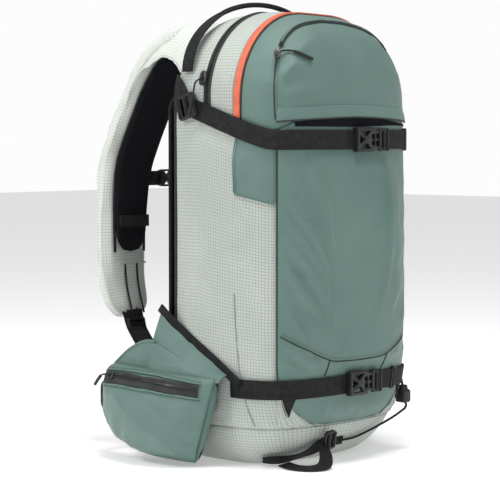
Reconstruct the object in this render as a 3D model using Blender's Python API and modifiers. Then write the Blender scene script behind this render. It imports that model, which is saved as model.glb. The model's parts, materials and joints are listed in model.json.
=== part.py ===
"""Avalanche airbag backpack, in metres, +Z up.

The outer face of the pack looks along -Y and the wearer stands on the +Y side. The wearer's left is -X.
Everything is placed from the middle of the bag's base, and the empty pack_origin then moves it so that
the middle of the whole pack's footprint is the origin.
"""

import math

import bmesh
import bpy
from mathutils import Matrix, Vector

# Bag: half width, front and back of its section, and its height
HALF_WIDTH, FRONT, BACK, HEIGHT = 0.145, 0.102, 0.100, 0.585
WALL = 0.0025
BASE_RISE, BASE_INSET, BASE_BACK_INSET = 0.060, 0.030, 0.008
TAPER_RISE, TAPER_FRONT, TAPER_SIDE, TAPER_ROUNDING = 0.140, 0.034, 0.014, 1.8  # the foot of the bag
SHOULDER_Z, SIDE_ROUND, FRONT_ROUND, BACK_ROUND = 0.470, 0.115, 0.075, 0.050
FRONT_SQUARENESS, BACK_SQUARENESS = 4.0, 8.0
RING_POINTS = 48
GAP = 0.0004  # between sewn neighbours
CENTRE_SHIFT = -0.07442  # from the bag's middle to the middle of the footprint, along Y

# Seams of the bag
BASE_SEAM_Z, FRONT_SEAM_Y, BACK_SEAM_Y, YOKE_SEAM_Z = 0.052, -0.080, 0.088, 0.462
ZIP_Y, PIPING_Y, LIP_Z = 0.030, -0.020, 0.447
LID_LINE = ((-0.095, LIP_Z), (-0.078, 0.428), (ZIP_Y, 0.457))
FAR = 0.4  # beyond the bag, for the regions that cut its panels
SEAM_STEP = 0.0015  # the corner seam stops this far above the lid's corner

# Compression straps
WEBBING, WEBBING_THICK, WEBBING_OFF = 0.025, 0.0016, 0.0022
UPPER_Z, UPPER_SIDE_SLOPE, LOWER_Z = 0.420, 0.33, 0.104
UPPER_BUCKLE_X, LOWER_BUCKLE_X = 0.026, 0.013
BUCKLE_LENGTH, BUCKLE_HEIGHT, BUCKLE_THICK, BUCKLE_MEET = 0.066, 0.032, 0.010, 0.006
WEBBING_REACH = BUCKLE_LENGTH / 2 + 0.001  # from a buckle's middle to where its webbing starts
LOCK_HALF_LONG, LOCK_HALF_HIGH, LOCK_THICK = 0.016, 0.017, 0.008

# Shoulder straps: the middle line in the Y-Z plane from the yoke down
STRAP_LINE = (
    (0.103, 0.553), (0.128, 0.547), (0.156, 0.531), (0.183, 0.495), (0.200, 0.459), (0.218, 0.4175),
    (0.2275, 0.386), (0.231, 0.3465), (0.231, 0.2925), (0.226, 0.227), (0.213, 0.180),
)
STRAP_WIDTH, SLEEVE_LOW, SLEEVE_HIGH, PAD_LOW = 0.074, -0.008, 0.018, -0.0165
STRAP_TOP_X, STRAP_FOOT_X = 0.070, 0.094

# Hip wings
WING_X, WING_THICK, WING_FRONT_Y, WING_TIP_Y = 0.1535, 0.010, -0.012, 0.190
POCKET_DEPTH = 0.030

# Airbag module
FAN_CENTRE, FAN_RADIUS, FAN_LENGTH = Vector((0, 0.034, 0.350)), 0.058, 0.050

PARTS = bpy.data.collections.new("airbag_backpack")
CUTTERS = bpy.data.collections.new("cutters")

COLOURS = {
    "green": ((0.17, 0.28, 0.24), 0.55, 0),
    "ripstop": ((0.68, 0.72, 0.67), 0.60, 0),
    "black_fabric": ((0.012, 0.012, 0.015), 0.80, 0),
    "back_mesh": ((0.032, 0.034, 0.034), 0.90, 0),
    "webbing": ((0.013, 0.013, 0.014), 0.75, 0),
    "buckle": ((0.045, 0.043, 0.047), 0.40, 0),
    "orange": ((0.75, 0.14, 0.07), 0.50, 0),
    "red_bag": ((0.60, 0.06, 0.04), 0.50, 0),
    "grey_plastic": ((0.20, 0.20, 0.21), 0.45, 0),
    "aluminium": ((0.72, 0.72, 0.74), 0.35, 1),
}


def clear_scene():
    for obj in list(bpy.data.objects):
        bpy.data.objects.remove(obj)
    for collection in (PARTS, CUTTERS):
        bpy.context.scene.collection.children.link(collection)


def origin_empty():
    empty = bpy.data.objects.new("pack_origin", None)
    empty.location = (0, CENTRE_SHIFT, 0)
    PARTS.objects.link(empty)
    return empty


def material_for(name, finish):
    colour, roughness, metallic = COLOURS[finish]
    material = bpy.data.materials.new(name)
    material.use_nodes = True
    shader = material.node_tree.nodes["Principled BSDF"]
    shader.inputs["Base Color"].default_value = (*colour, 1)
    shader.inputs["Roughness"].default_value = roughness
    shader.inputs["Metallic"].default_value = metallic
    return material


def place(name, data, finish=None, pivot=None):
    """Links an object. With a pivot, its origin goes there and its shape stays where it is."""
    obj = bpy.data.objects.new(name, data)
    if finish:
        PARTS.objects.link(obj)
        data.materials.append(material_for(name, finish))
    else:
        CUTTERS.objects.link(obj)
        obj.hide_render = True
        obj.display_type = "WIRE"
    obj.parent = ORIGIN
    if pivot is not None:
        data.transform(Matrix.Translation(-Vector(pivot)))
        obj.location = pivot
    return obj


def mesh_of(name, bm):
    bmesh.ops.recalc_face_normals(bm, faces=bm.faces)
    mesh = bpy.data.meshes.new(name)
    bm.to_mesh(mesh)
    bm.free()
    return mesh


def box(name, low, high, finish=None, bevel=0.0, pivot=None):
    low, high = Vector(tuple(low)), Vector(tuple(high))
    bm = bmesh.new()
    bmesh.ops.create_cube(bm, size=1)
    bmesh.ops.scale(bm, vec=high - low, verts=bm.verts)
    bmesh.ops.translate(bm, vec=(low + high) / 2, verts=bm.verts)
    obj = place(name, mesh_of(name, bm), finish, pivot)
    if bevel:
        modifier = obj.modifiers.new("round", "BEVEL")
        modifier.width = bevel
        modifier.segments = 2
    return obj


def cylinder(name, start, end, radius, finish=None, sides=24, pivot=None):
    start, end = Vector(start), Vector(end)
    bm = bmesh.new()
    bmesh.ops.create_cone(
        bm, cap_ends=True, segments=sides, radius1=radius, radius2=radius, depth=(end - start).length
    )
    turn = (end - start).to_track_quat("Z", "Y").to_matrix().to_4x4()
    bmesh.ops.transform(bm, matrix=Matrix.Translation((start + end) / 2) @ turn, verts=bm.verts)
    obj = place(name, mesh_of(name, bm), finish, pivot)
    obj.data.shade_smooth()
    obj.data.set_sharp_from_angle(angle=math.radians(40))
    return obj


def loft(bm, rings, caps=True):
    """Skins closed rings of equally many points."""
    rows = [[bm.verts.new(point) for point in ring] for ring in rings]
    for low, high in zip(rows, rows[1:]):
        for i in range(len(low)):
            j = (i + 1) % len(low)
            bm.faces.new((low[i], low[j], high[j], high[i]))
    if caps:
        bm.faces.new(rows[0])
        bm.faces.new(rows[-1])
    return bm


def solid_loft(name, rings, finish=None, pivot=None):
    bm = loft(bmesh.new(), rings)
    return place(name, mesh_of(name, bm), finish, pivot)


def sheet(name, rows, thickness, finish, pivot=None, offset=0.0):
    """An open grid of points given thickness."""
    bm = bmesh.new()
    grid = [[bm.verts.new(point) for point in row] for row in rows]
    for low, high in zip(grid, grid[1:]):
        for i in range(len(low) - 1):
            bm.faces.new((low[i], low[i + 1], high[i + 1], high[i]))
    obj = place(name, mesh_of(name, bm), finish, pivot)
    modifier = obj.modifiers.new("thickness", "SOLIDIFY")
    modifier.thickness = thickness
    modifier.offset = offset
    return obj


def prism(name, outline, x_low, x_high):
    """A Y-Z outline drawn out along X, as a cutter."""
    return solid_loft(name, [[(x, y, z) for y, z in outline] for x in (x_low, x_high)])


def boolean(obj, cutter, operation="DIFFERENCE"):
    modifier = obj.modifiers.new(operation.lower(), "BOOLEAN")
    modifier.operation = operation
    modifier.object = cutter
    return obj


def rounding(t):
    """How far in, of the whole inset, a rounded edge is at share t of its rise."""
    return 1 - math.sqrt(1 - min(t, 1.0) ** 2)


def taper(z):
    """How far the bag's foot has narrowed at height z, from 0 at TAPER_RISE to 1 at the base."""
    return max(0.0, (TAPER_RISE - z) / TAPER_RISE) ** 2


def section(z, inset=0.0):
    """Half width, front and back distance of the bag at height z."""
    low = rounding((BASE_RISE - z) / BASE_RISE) if z < BASE_RISE else 0.0
    top = rounding((z - SHOULDER_Z) / (HEIGHT - SHOULDER_Z)) if z > SHOULDER_Z else 0.0
    foot = taper(z)
    return (
        HALF_WIDTH - inset - low * BASE_INSET - top * SIDE_ROUND - foot * TAPER_SIDE,
        FRONT - inset - low * BASE_INSET - top * FRONT_ROUND - foot * TAPER_FRONT,
        BACK - inset - low * BASE_BACK_INSET - top * BACK_ROUND,
    )


def bag_point(angle, z, inset=0.0):
    """The bag's surface, by the angle round its axis from +X and the height."""
    half, front, back = section(z, inset)
    deep, power = back, BACK_SQUARENESS
    if math.sin(angle) <= 0:
        deep, power = front, FRONT_SQUARENESS - TAPER_ROUNDING * taper(z)
    reach = (abs(math.cos(angle) / half) ** power + abs(math.sin(angle) / deep) ** power) ** (-1 / power)
    return Vector((reach * math.cos(angle), reach * math.sin(angle), z))


def bag_heights():
    quarter = [math.radians(a) for a in (0, 25, 50, 70)]
    low = [BASE_RISE * (1 - math.cos(a)) for a in quarter]
    middle = [BASE_RISE + (SHOULDER_Z - BASE_RISE) * i / 6 for i in (0, 0.5, 1, 2, 3, 4, 5, 6)]
    rise = HEIGHT - SHOULDER_Z
    high = [SHOULDER_Z + rise * math.sin(math.radians(a)) for a in (15, 30, 45, 60, 75, 90)]
    return low + middle + high


def bag_shell_mesh():
    bm = bmesh.new()
    angles = [math.tau * (i + 0.5) / RING_POINTS for i in range(RING_POINTS)]
    for inset in (0.0, WALL):
        rings = []
        for z in bag_heights():
            ring = [bag_point(a, z, inset) for a in angles]
            height = min(max(z, inset), HEIGHT - inset)
            rings.append([(p.x, p.y, height) for p in ring])
        part = loft(bmesh.new(), rings)
        bmesh.ops.recalc_face_normals(part, faces=part.faces)
        if inset:
            bmesh.ops.reverse_faces(part, faces=part.faces)
        piece = bpy.data.meshes.new("shell")
        part.to_mesh(piece)
        part.free()
        bm.from_mesh(piece)
    mesh = bpy.data.meshes.new("bag_shell")
    bm.to_mesh(mesh)
    bm.free()
    return mesh


def lid_line(shift):
    """The lid's lower edge from the front to the zip, moved up by shift."""
    (y0, z0), (y1, z1), (y2, z2) = LID_LINE
    return [(-FAR, z0 + shift), (y0 + shift, z0 + shift), (y1 + shift, z1 + shift), (y2, z2 + shift)]


def bag():
    shell = bag_shell_mesh()
    g = GAP / 2
    line, edge = lid_line(g), lid_line(-g)
    lid_y, roof = ZIP_Y - g, HEIGHT + 0.1
    side = [(FRONT_SEAM_Y + g, BASE_SEAM_Z + g), (BACK_SEAM_Y - g, BASE_SEAM_Z + g)]
    side += [(BACK_SEAM_Y - g, YOKE_SEAM_Z - g), (ZIP_Y + 0.004, YOKE_SEAM_Z - g)]
    side += [(ZIP_Y, edge[3][1]), edge[2], (FRONT_SEAM_Y + g, edge[2][1] + SEAM_STEP)]
    front = [(-FAR, BASE_SEAM_Z + g), (FRONT_SEAM_Y - g, BASE_SEAM_Z + g)]
    front += [(FRONT_SEAM_Y - g, edge[2][1] + SEAM_STEP), edge[1], edge[0]]
    pocket = [line[0], line[1], line[2]]
    slope = (line[3][1] - line[2][1]) / (line[3][0] - line[2][0])
    at_piping = line[2][1] + slope * (PIPING_Y - line[2][0])
    pocket += [(PIPING_Y - g, at_piping), (PIPING_Y - g, roof), (-FAR, roof)]
    crown = [(PIPING_Y + g, at_piping), (lid_y, line[3][1]), (lid_y, roof), (PIPING_Y + g, roof)]
    high_back = [(ZIP_Y + g, YOKE_SEAM_Z + g), (FAR, YOKE_SEAM_Z + g), (FAR, roof), (ZIP_Y + g, roof)]
    low_back = [(BACK_SEAM_Y + g, BASE_SEAM_Z + g), (FAR, BASE_SEAM_Z + g)]
    low_back += [(FAR, YOKE_SEAM_Z - g), (BACK_SEAM_Y + g, YOKE_SEAM_Z - g)]
    base = [(-FAR, -0.1), (FAR, -0.1), (FAR, BASE_SEAM_Z - g), (-FAR, BASE_SEAM_Z - g)]
    panels = (
        ("front_panel", "green", front, -FAR, FAR),
        ("side_panel_left", "ripstop", side, -FAR, -0.05),
        ("side_panel_right", "ripstop", side, 0.05, FAR),
        ("bottom_panel", "ripstop", base, -FAR, FAR),
        ("back_wall", "black_fabric", low_back, -FAR, FAR),
        ("yoke_panel", "ripstop", high_back, -FAR, FAR),
        ("lid_pocket_panel", "green", pocket, -FAR, FAR),
        ("lid_crown_panel", "ripstop", crown, -FAR, FAR),
    )
    for name, finish, outline, x_low, x_high in panels:
        panel = place(name, shell.copy(), finish)
        boolean(panel, prism(f"{name}_region", outline, x_low, x_high), "INTERSECT")
    return shell


def surface_frame(angle, z):
    """A point of the bag's surface with its outward and its forward-round direction."""
    here = bag_point(angle, z)
    step = bag_point(angle + 0.01, z) - bag_point(angle - 0.01, z)
    round_way = step.normalized()
    return here, Vector((round_way.y, -round_way.x, 0)), round_way


def strap_height(y, front_z, side_slope):
    """Strap height: level across the front, rising towards the back along the sides."""
    return front_z + side_slope * max(0.0, y + 0.075)


def webbing_round(name, start, end, front_z, side_slope, steps=20):
    rows = []
    for i in range(steps + 1):
        angle = math.radians(start + (end - start) * i / steps)
        z = strap_height(bag_point(angle, front_z).y, front_z, side_slope)
        here, out, _ = surface_frame(angle, z)
        middle = here + out * WEBBING_OFF
        rows.append([middle + Vector((0, 0, s * WEBBING / 2)) for s in (-1, 1)])
    return sheet(name, rows, WEBBING_THICK, "webbing")


def front_angle(x):
    """The angle at which the front of the bag has this X."""
    return 270 + math.degrees(math.atan2(x, FRONT))


def side_release_buckle(prefix, x_middle, z):
    """Socket on the left and plug on the right, lying just clear of the front of the bag."""
    y_in = -FRONT - 0.0012
    y_out = y_in - BUCKLE_THICK
    low, high = z - BUCKLE_HEIGHT / 2, z + BUCKLE_HEIGHT / 2
    left, meet, right = x_middle - BUCKLE_LENGTH / 2, x_middle + BUCKLE_MEET, x_middle + BUCKLE_LENGTH / 2
    box(f"{prefix}_buckle_socket", (left, y_out, low), (meet, y_in, high), "buckle", 0.0025)
    box(f"{prefix}_buckle_plug", (meet + GAP, y_out, low), (right, y_in, high), "buckle", 0.0025)


def compression_straps():
    straps = (
        ("upper", UPPER_BUCKLE_X, UPPER_Z, UPPER_SIDE_SLOPE, 166), ("lower", LOWER_BUCKLE_X, LOWER_Z, 0, 187),
    )
    for prefix, x, z, slope, end in straps:
        side_release_buckle(prefix, x, z)
        webbing_round(f"{prefix}_webbing_left", end, front_angle(x - WEBBING_REACH), z, slope)
        webbing_round(f"{prefix}_webbing_right", front_angle(x + WEBBING_REACH), 540 - end, z, slope)
    for side, word in ((-1, "left"), (1, "right")):
        angle = math.radians(270 + side * 111)
        z = strap_height(bag_point(angle, UPPER_Z).y, UPPER_Z, UPPER_SIDE_SLOPE)
        here = bag_point(angle, z)
        low = (here.x + side * 0.0006, here.y - LOCK_HALF_LONG, z - LOCK_HALF_HIGH)
        high = (here.x + side * (0.0006 + LOCK_THICK), here.y + LOCK_HALF_LONG, z + LOCK_HALF_HIGH)
        box(f"compression_ladder_lock_{word}", map(min, low, high), map(max, low, high), "buckle", 0.002)


def smooth_path(points, count):
    """Points along a Catmull-Rom curve through the given ones."""
    points = [Vector(p) for p in points]
    points = [2 * points[0] - points[1]] + points + [2 * points[-1] - points[-2]]
    spans = len(points) - 3
    path = []
    for i in range(count + 1):
        s = min(i / count * spans, spans - 1e-9)
        k, t = int(s), s - int(s)
        a, b, c, d = points[k:k + 4]
        path.append(
            0.5 * (2 * b + (c - a) * t + (2 * a - 5 * b + 4 * c - d) * t * t
                   + (3 * b - a - 3 * c + d) * t ** 3)
        )
    return path


def strap_frames(side, count=22):
    """Middle points of a shoulder strap, each with its outward direction."""
    last = len(STRAP_LINE) - 1
    points = []
    for i, (y, z) in enumerate(STRAP_LINE):
        share = i / last
        x = STRAP_TOP_X + (STRAP_FOOT_X - STRAP_TOP_X) * (3 * share ** 2 - 2 * share ** 3)
        points.append((side * x, y, z))
    path = smooth_path(points, count)
    frames = []
    for i, here in enumerate(path):
        along = (path[min(i + 1, count)] - path[max(i - 1, 0)]).normalized()
        out = Vector((0, -along.z, along.y))
        frames.append((here, out.normalized()))
    return frames


def strap_slab(name, side, low, high, width, finish, pivot, first=0, last=22):
    """A rounded slab along a shoulder strap, between two distances outward of its middle line."""
    rings = []
    for here, out in strap_frames(side)[first:last + 1]:
        middle, half = (low + high) / 2, (high - low) / 2
        ring = []
        for k in range(14):
            angle = math.tau * (k + 0.5) / 14
            c, s = math.cos(angle), math.sin(angle)
            across = math.copysign(abs(c) ** 0.45, c) * width / 2
            lift = middle + math.copysign(abs(s) ** 0.6, s) * half
            ring.append(here + Vector((across, 0, 0)) + out * lift)
        rings.append(ring)
    return solid_loft(name, rings, finish, pivot)


def tube(name, points, radius, finish, count=30, pivot=None):
    curve = bpy.data.curves.new(name, "CURVE")
    curve.dimensions = "3D"
    path = smooth_path(points, count)
    spline = curve.splines.new("POLY")
    spline.points.add(len(path) - 1)
    for target, here in zip(spline.points, path):
        target.co = (*(here - Vector(pivot or (0, 0, 0))), 1)
    curve.bevel_depth = radius
    curve.bevel_resolution = 2
    curve.use_fill_caps = True
    obj = place(name, curve, finish)
    if pivot:
        obj.location = pivot
    return obj


HARNESS_PIVOT = (0, 0.100, 0.545)


def harness():
    for side, word in ((-1, "left"), (1, "right")):
        strap_slab(
            f"shoulder_sleeve_{word}", side, SLEEVE_LOW, SLEEVE_HIGH, STRAP_WIDTH, "ripstop",
            HARNESS_PIVOT,
        )
        strap_slab(
            f"shoulder_pad_{word}", side, PAD_LOW, SLEEVE_LOW - GAP, STRAP_WIDTH - 0.008,
            "black_fabric", HARNESS_PIVOT, 1, 20,
        )
        foot = strap_frames(side)[-1][0]
        box(
            f"strap_ladder_lock_{word}", foot + Vector((-0.016, -0.012, -0.022)),
            foot + Vector((0.016, -0.002, -0.0035)), "buckle", 0.002, HARNESS_PIVOT,
        )
        path = [foot + Vector((0, -0.009, -0.025)), foot + Vector((side * 0.016, -0.045, -0.038))]
        path += [Vector((side * 0.124, 0.128, 0.108))]
        rows = [[p + Vector((s * WEBBING / 2, 0, 0)) for s in (-1, 1)] for p in smooth_path(path, 8)]
        sheet(f"lower_strap_webbing_{word}", rows, WEBBING_THICK, "webbing")


def sternum_strap():
    y, z, thick, half_wide, half_deep, half_high = 0.2285, 0.366, 0.0014, 0.010, 0.005, 0.012
    for side, word, end in ((-1, "left", -0.0265), (1, "right", 0.0225)):
        start = side * 0.0435
        xs = [start + (end - start) * i / 3 for i in range(4)]
        rows = [[(x, y, z + s * half_wide) for s in (-1, 1)] for x in xs]
        sheet(f"sternum_webbing_{word}", rows, thick, "webbing", HARNESS_PIVOT)
    for word, left, right in (("socket", -0.0260, 0.0), ("plug", GAP, 0.0220)):
        box(
            f"sternum_buckle_{word}", (left, y - half_deep, z - half_high), (right, y + half_deep, z + half_high),
            "buckle", 0.002, HARNESS_PIVOT,
        )


def trigger():
    handle_x, top_z = -0.088, 0.352
    box(
        "trigger_handle", (handle_x - 0.010, 0.2502, top_z - 0.075), (handle_x + 0.010, 0.2622, top_z),
        "orange", 0.004, HARNESS_PIVOT,
    )
    points = [here + out * (SLEEVE_HIGH + 0.0040) for here, out in strap_frames(-1)[1:13]]
    points += [Vector((handle_x, 0.2540, top_z + 0.018)), Vector((handle_x, 0.2550, top_z + 0.0025))]
    tube("trigger_cable", points, 0.0015, "grey_plastic", 36, HARNESS_PIVOT)


PAD_HALF_X, PAD_FOOT_Z, PAD_TOP_Z, PAD_CORNER = 0.132, 0.045, 0.480, 0.040
PAD_PROFILE = ((0.010, 0.0), (0.0, 0.005), (0.006, 0.0125), (0.022, 0.016))  # (drawn in, depth) from the wall


def back_system():
    y, corner = BACK + GAP, PAD_CORNER
    rings = []
    for inward, depth in PAD_PROFILE:
        half_x, low, high = PAD_HALF_X - inward, PAD_FOOT_Z + inward, PAD_TOP_Z - inward
        ring = []
        for cx, cz, start in (
            (half_x - corner, low + corner, 270), (half_x - corner, high - corner, 0),
            (-half_x + corner, high - corner, 90), (-half_x + corner, low + corner, 180),
        ):
            for k in range(5):
                a = math.radians(start + 22.5 * k)
                ring.append((cx + corner * math.cos(a), y + depth, cz + corner * math.sin(a)))
        rings.append(ring)
    solid_loft("back_panel_pad", rings, "back_mesh")
    inner = BACK - WALL
    box("frame_sheet", (-0.105, inner - 0.0037, 0.076), (0.105, inner - 0.0021, 0.455), "black_fabric")
    for x, word in ((-0.075, "left"), (0.075, "right")):
        box(
            f"frame_stay_{word}", (x - 0.010, inner - 0.0070, 0.085), (x + 0.010, inner - 0.0040, 0.445),
            "aluminium",
        )


HAUL_PIVOT = (0, 0.062, 0.508)
HAUL_REACH, HAUL_RISE, HAUL_WIDTH = 0.1425, 0.092, 0.018


def haul_loop():
    rows = []
    for i in range(21):
        a = math.pi * i / 20
        x, z = HAUL_REACH * math.cos(a), HAUL_PIVOT[2] + HAUL_RISE * math.sin(a)
        rows.append([(x, HAUL_PIVOT[1] + s * HAUL_WIDTH / 2, z) for s in (-1, 1)])
    sheet("haul_loop", rows, 0.0030, "webbing", HAUL_PIVOT)


def zip_sliders():
    here = bag_point(math.radians(167.5), 0.500)
    box(
        "main_zip_slider", (here.x - 0.0082, 0.0245, 0.490), (here.x - 0.0022, 0.0355, 0.508), "buckle",
        0.0015, here,
    )
    edge = bag_point(math.radians(211), 0.528) + Vector((-0.0055, -0.0045, 0))
    box(
        "pocket_zip_slider", edge + Vector((-0.0035, -0.0035, -0.009)), edge + Vector((0.0035, 0.0035, 0.009)),
        "buckle", 0.0015, edge,
    )


def between(points, at):
    """Height of a line through (place, height) points at a place."""
    for (p0, h0), (p1, h1) in zip(points, points[1:]):
        if at <= p1:
            return h0 + (h1 - h0) * max(0.0, (at - p0) / (p1 - p0))
    return points[-1][1]


WING_LOW = ((-0.012, 0.006), (0.050, 0.006), (0.105, 0.0095), (0.155, 0.022), (0.180, 0.037), (0.190, 0.058))
WING_HIGH = ((-0.012, 0.119), (0.040, 0.136), (0.100, 0.158), (0.140, 0.147), (0.178, 0.123), (0.190, 0.100))
POCKET_HIGH = ((-0.012, 0.117), (0.160, 0.124), (0.178, 0.120), (0.190, 0.098))


def wing_x(y):
    """Distance of the wing's inner face from the middle: it bows out, and in again at the tip."""
    share = (y - WING_FRONT_Y) / (WING_TIP_Y - WING_FRONT_Y)
    return WING_X + 0.012 * math.sin(math.pi * share)


def wing_slab(name, side, start, bulge, high_line, inset, pivot):
    """A slab on the wing's curve, drawn from front to tip. The bulge is its thickness at each place."""
    rings = []
    count = 14
    for i in range(count + 1):
        share = (1 - math.cos(math.pi * i / count)) / 2
        y = WING_FRONT_Y + inset + (WING_TIP_Y - WING_FRONT_Y - 2 * inset) * share
        low, high = between(WING_LOW, y) + inset, between(high_line, y) - inset
        near, thick = wing_x(y) + start, bulge(share)
        corner = min(0.4 * thick, 0.012)
        section_points = (
            (0, low), (thick - corner, low), (thick, low + corner), (thick * 1.04, (low + high) / 2),
            (thick, high - corner), (thick - corner, high), (0, high),
        )
        rings.append([(side * (near + depth), y, z) for depth, z in section_points])
    return solid_loft(name, rings, "green", pivot)


def pocket_bulge(share):
    """The pocket's thickness at a share of the way from its front end to its tip."""
    return 0.008 + POCKET_DEPTH * math.sin(math.pi * share) ** 0.5


def hip_wing(side, word):
    pivot = (side * 0.158, WING_FRONT_Y, 0.07)
    wing_slab(f"hip_wing_{word}", side, 0, lambda share: WING_THICK, WING_HIGH, 0.0, pivot)
    wing_slab(
        f"hip_pocket_{word}", side, WING_THICK * 1.04 + GAP,
        pocket_bulge, POCKET_HIGH, 0.003, pivot,
    )
    y = 0.150
    x = side * (wing_x(y) + pocket_bulge(0.8) + WING_THICK + 0.0045)
    box(
        f"hip_zip_slider_{word}", (min(x, x + side * 0.007), y - 0.008, 0.100),
        (max(x, x + side * 0.007), y + 0.008, 0.112), "buckle", 0.0015, (x, y, 0.106),
    )


def hip_buckle():
    y, z, half_deep, half_high = WING_TIP_Y + 0.0075, 0.078, 0.006, 0.021
    for side, name in ((-1, "hip_buckle_socket"), (1, "hip_buckle_plug")):
        x_out, x_in = side * 0.168, side * 0.108
        low = (min(x_out, x_in), y - half_deep, z - half_high)
        high = (max(x_out, x_in), y + half_deep, z + half_high)
        box(name, low, high, "buckle", 0.003, (x_out, y, z))


CORD_RADIUS = 0.0016
CORD_ROUTE = (  # degrees round the bag, height and distance off the fabric
    (328, 0.056, 0.019), (320, 0.045, 0.010), (300, 0.030, 0.0045), (285, 0.026, 0.0040), (270, 0.026, 0.0040),
)
SKI_BUCKLE_X, SKI_BUCKLE_Z, SKI_START_X, SKI_END = -0.040, 0.032, -0.061, 196


def cord_and_ski_loop():
    spot, out, _ = surface_frame(math.radians(330), 0.075)
    low = spot + out * 0.011 + Vector((-0.008, -0.008, -0.012))
    body = box("cord_lock_body", low, low + Vector((0.016, 0.016, 0.018)), "buckle", 0.003)
    centre = low + Vector((0.008, 0.008, 0))
    boolean(body, cylinder("button_recess", centre + Vector((0, 0, 0.0135)), centre + Vector((0, 0, 0.03)),
                           0.0064, None, 16))
    cylinder("cord_lock_button", centre + Vector((0, 0, 0.0172)), centre + Vector((0, 0, 0.0240)),
             0.0059, "buckle", 16, centre)
    route = []
    for angle, z, lift in CORD_ROUTE:
        spot, out, _ = surface_frame(math.radians(angle), z)
        route.append(spot + out * lift)
    tube("tool_cord", route, CORD_RADIUS, "webbing", 26)
    angle = math.radians(front_angle(SKI_BUCKLE_X))
    buckle = Vector((SKI_BUCKLE_X, bag_point(angle, 0.045).y, SKI_BUCKLE_Z))
    box(
        "ski_loop_buckle", buckle + Vector((-0.013, -0.0115, -0.013)), buckle + Vector((0.013, -0.0035, 0.013)),
        "buckle", 0.002,
    )
    rows = []
    start = front_angle(SKI_START_X)
    for i in range(15):
        t = i / 14
        angle = math.radians(start + (SKI_END - start) * t)
        z = 0.030 - 0.016 * min(1.0, 3 * t)
        spot, out, _ = surface_frame(angle, max(z, 0.004))
        middle = spot + out * (0.011 + 0.017 * math.sin(math.pi * t))
        rows.append([middle + Vector((0, 0, s * 0.010)) for s in (-1, 1)])
    sheet("ski_loop_webbing", rows, WEBBING_THICK, "webbing")


def airbag_module():
    x, y, z = FAN_CENTRE
    housing = cylinder("fan_housing", (x, y, z), (x, y + FAN_LENGTH, z), FAN_RADIUS, "grey_plastic", 40)
    hollow = cylinder("fan_hollow", (x, y - 0.01, z), (x, y + FAN_LENGTH - 0.003, z), FAN_RADIUS - 0.003,
                      None, 40)
    boolean(housing, hollow)
    cylinder("motor", (x, y + 0.0235, z), (x, y + FAN_LENGTH - 0.0034, z), 0.018, "aluminium", 28)
    impeller()
    module = box("power_module", (-0.055, 0.048, 0.165), (0.055, 0.086, 0.245), "grey_plastic", 0.004)
    boolean(module, cylinder("switch_recess", (0.030, 0.03, 0.205), (0.030, 0.0530, 0.205), 0.0095, None, 20))
    cylinder("power_switch", (0.030, 0.0490, 0.205), (0.030, 0.0426, 0.205), 0.009, "orange", 20,
             (0.030, 0.0490, 0.205))
    box("airbag_folded", (-0.095, 0.036, 0.420), (0.095, 0.084, 0.520), "red_bag", 0.012)


def impeller():
    """Hub, back plate and a ring of blades, joined into one solid."""
    x, y, z = FAN_CENTRE
    blades = 9
    plate = cylinder("impeller", (x, y + 0.0200, z), (x, y + 0.0225, z), 0.051, "grey_plastic", 40,
                     (x, y, z))
    joined = bpy.data.collections.new("impeller_parts")
    CUTTERS.children.link(joined)
    pieces = [cylinder("impeller_hub", (x, y + 0.003, z), (x, y + 0.021, z), 0.014, None, 24)]
    for i in range(blades):
        turn = math.tau * i / blades
        blade = box(f"impeller_blade_{i}", (0.010, y + 0.004, -0.0010), (0.049, y + 0.021, 0.0010))
        blade.data.transform(Matrix.Translation((x, 0, z)) @ Matrix.Rotation(turn, 4, "Y"))
        pieces.append(blade)
    for piece in pieces:
        CUTTERS.objects.unlink(piece)
        joined.objects.link(piece)
    modifier = plate.modifiers.new("join", "BOOLEAN")
    modifier.operation = "UNION"
    modifier.operand_type = "COLLECTION"
    modifier.collection = joined


clear_scene()
ORIGIN = origin_empty()
bag()
compression_straps()
harness()
sternum_strap()
trigger()
back_system()
haul_loop()
zip_sliders()
for wing_side, wing_word in ((-1, "left"), (1, "right")):
    hip_wing(wing_side, wing_word)
hip_buckle()
cord_and_ski_loop()
airbag_module()
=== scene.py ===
"""Avalanche airbag backpack: fabric, straps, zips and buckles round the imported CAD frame.

Shapes are worked out from the middle of the bag's base, as in the CAD, and moved to the frame by world().
"""

import json
import math

import bmesh
import bpy
import numpy as np
from mathutils import Matrix, Vector
from mathutils.bvhtree import BVHTree

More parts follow.
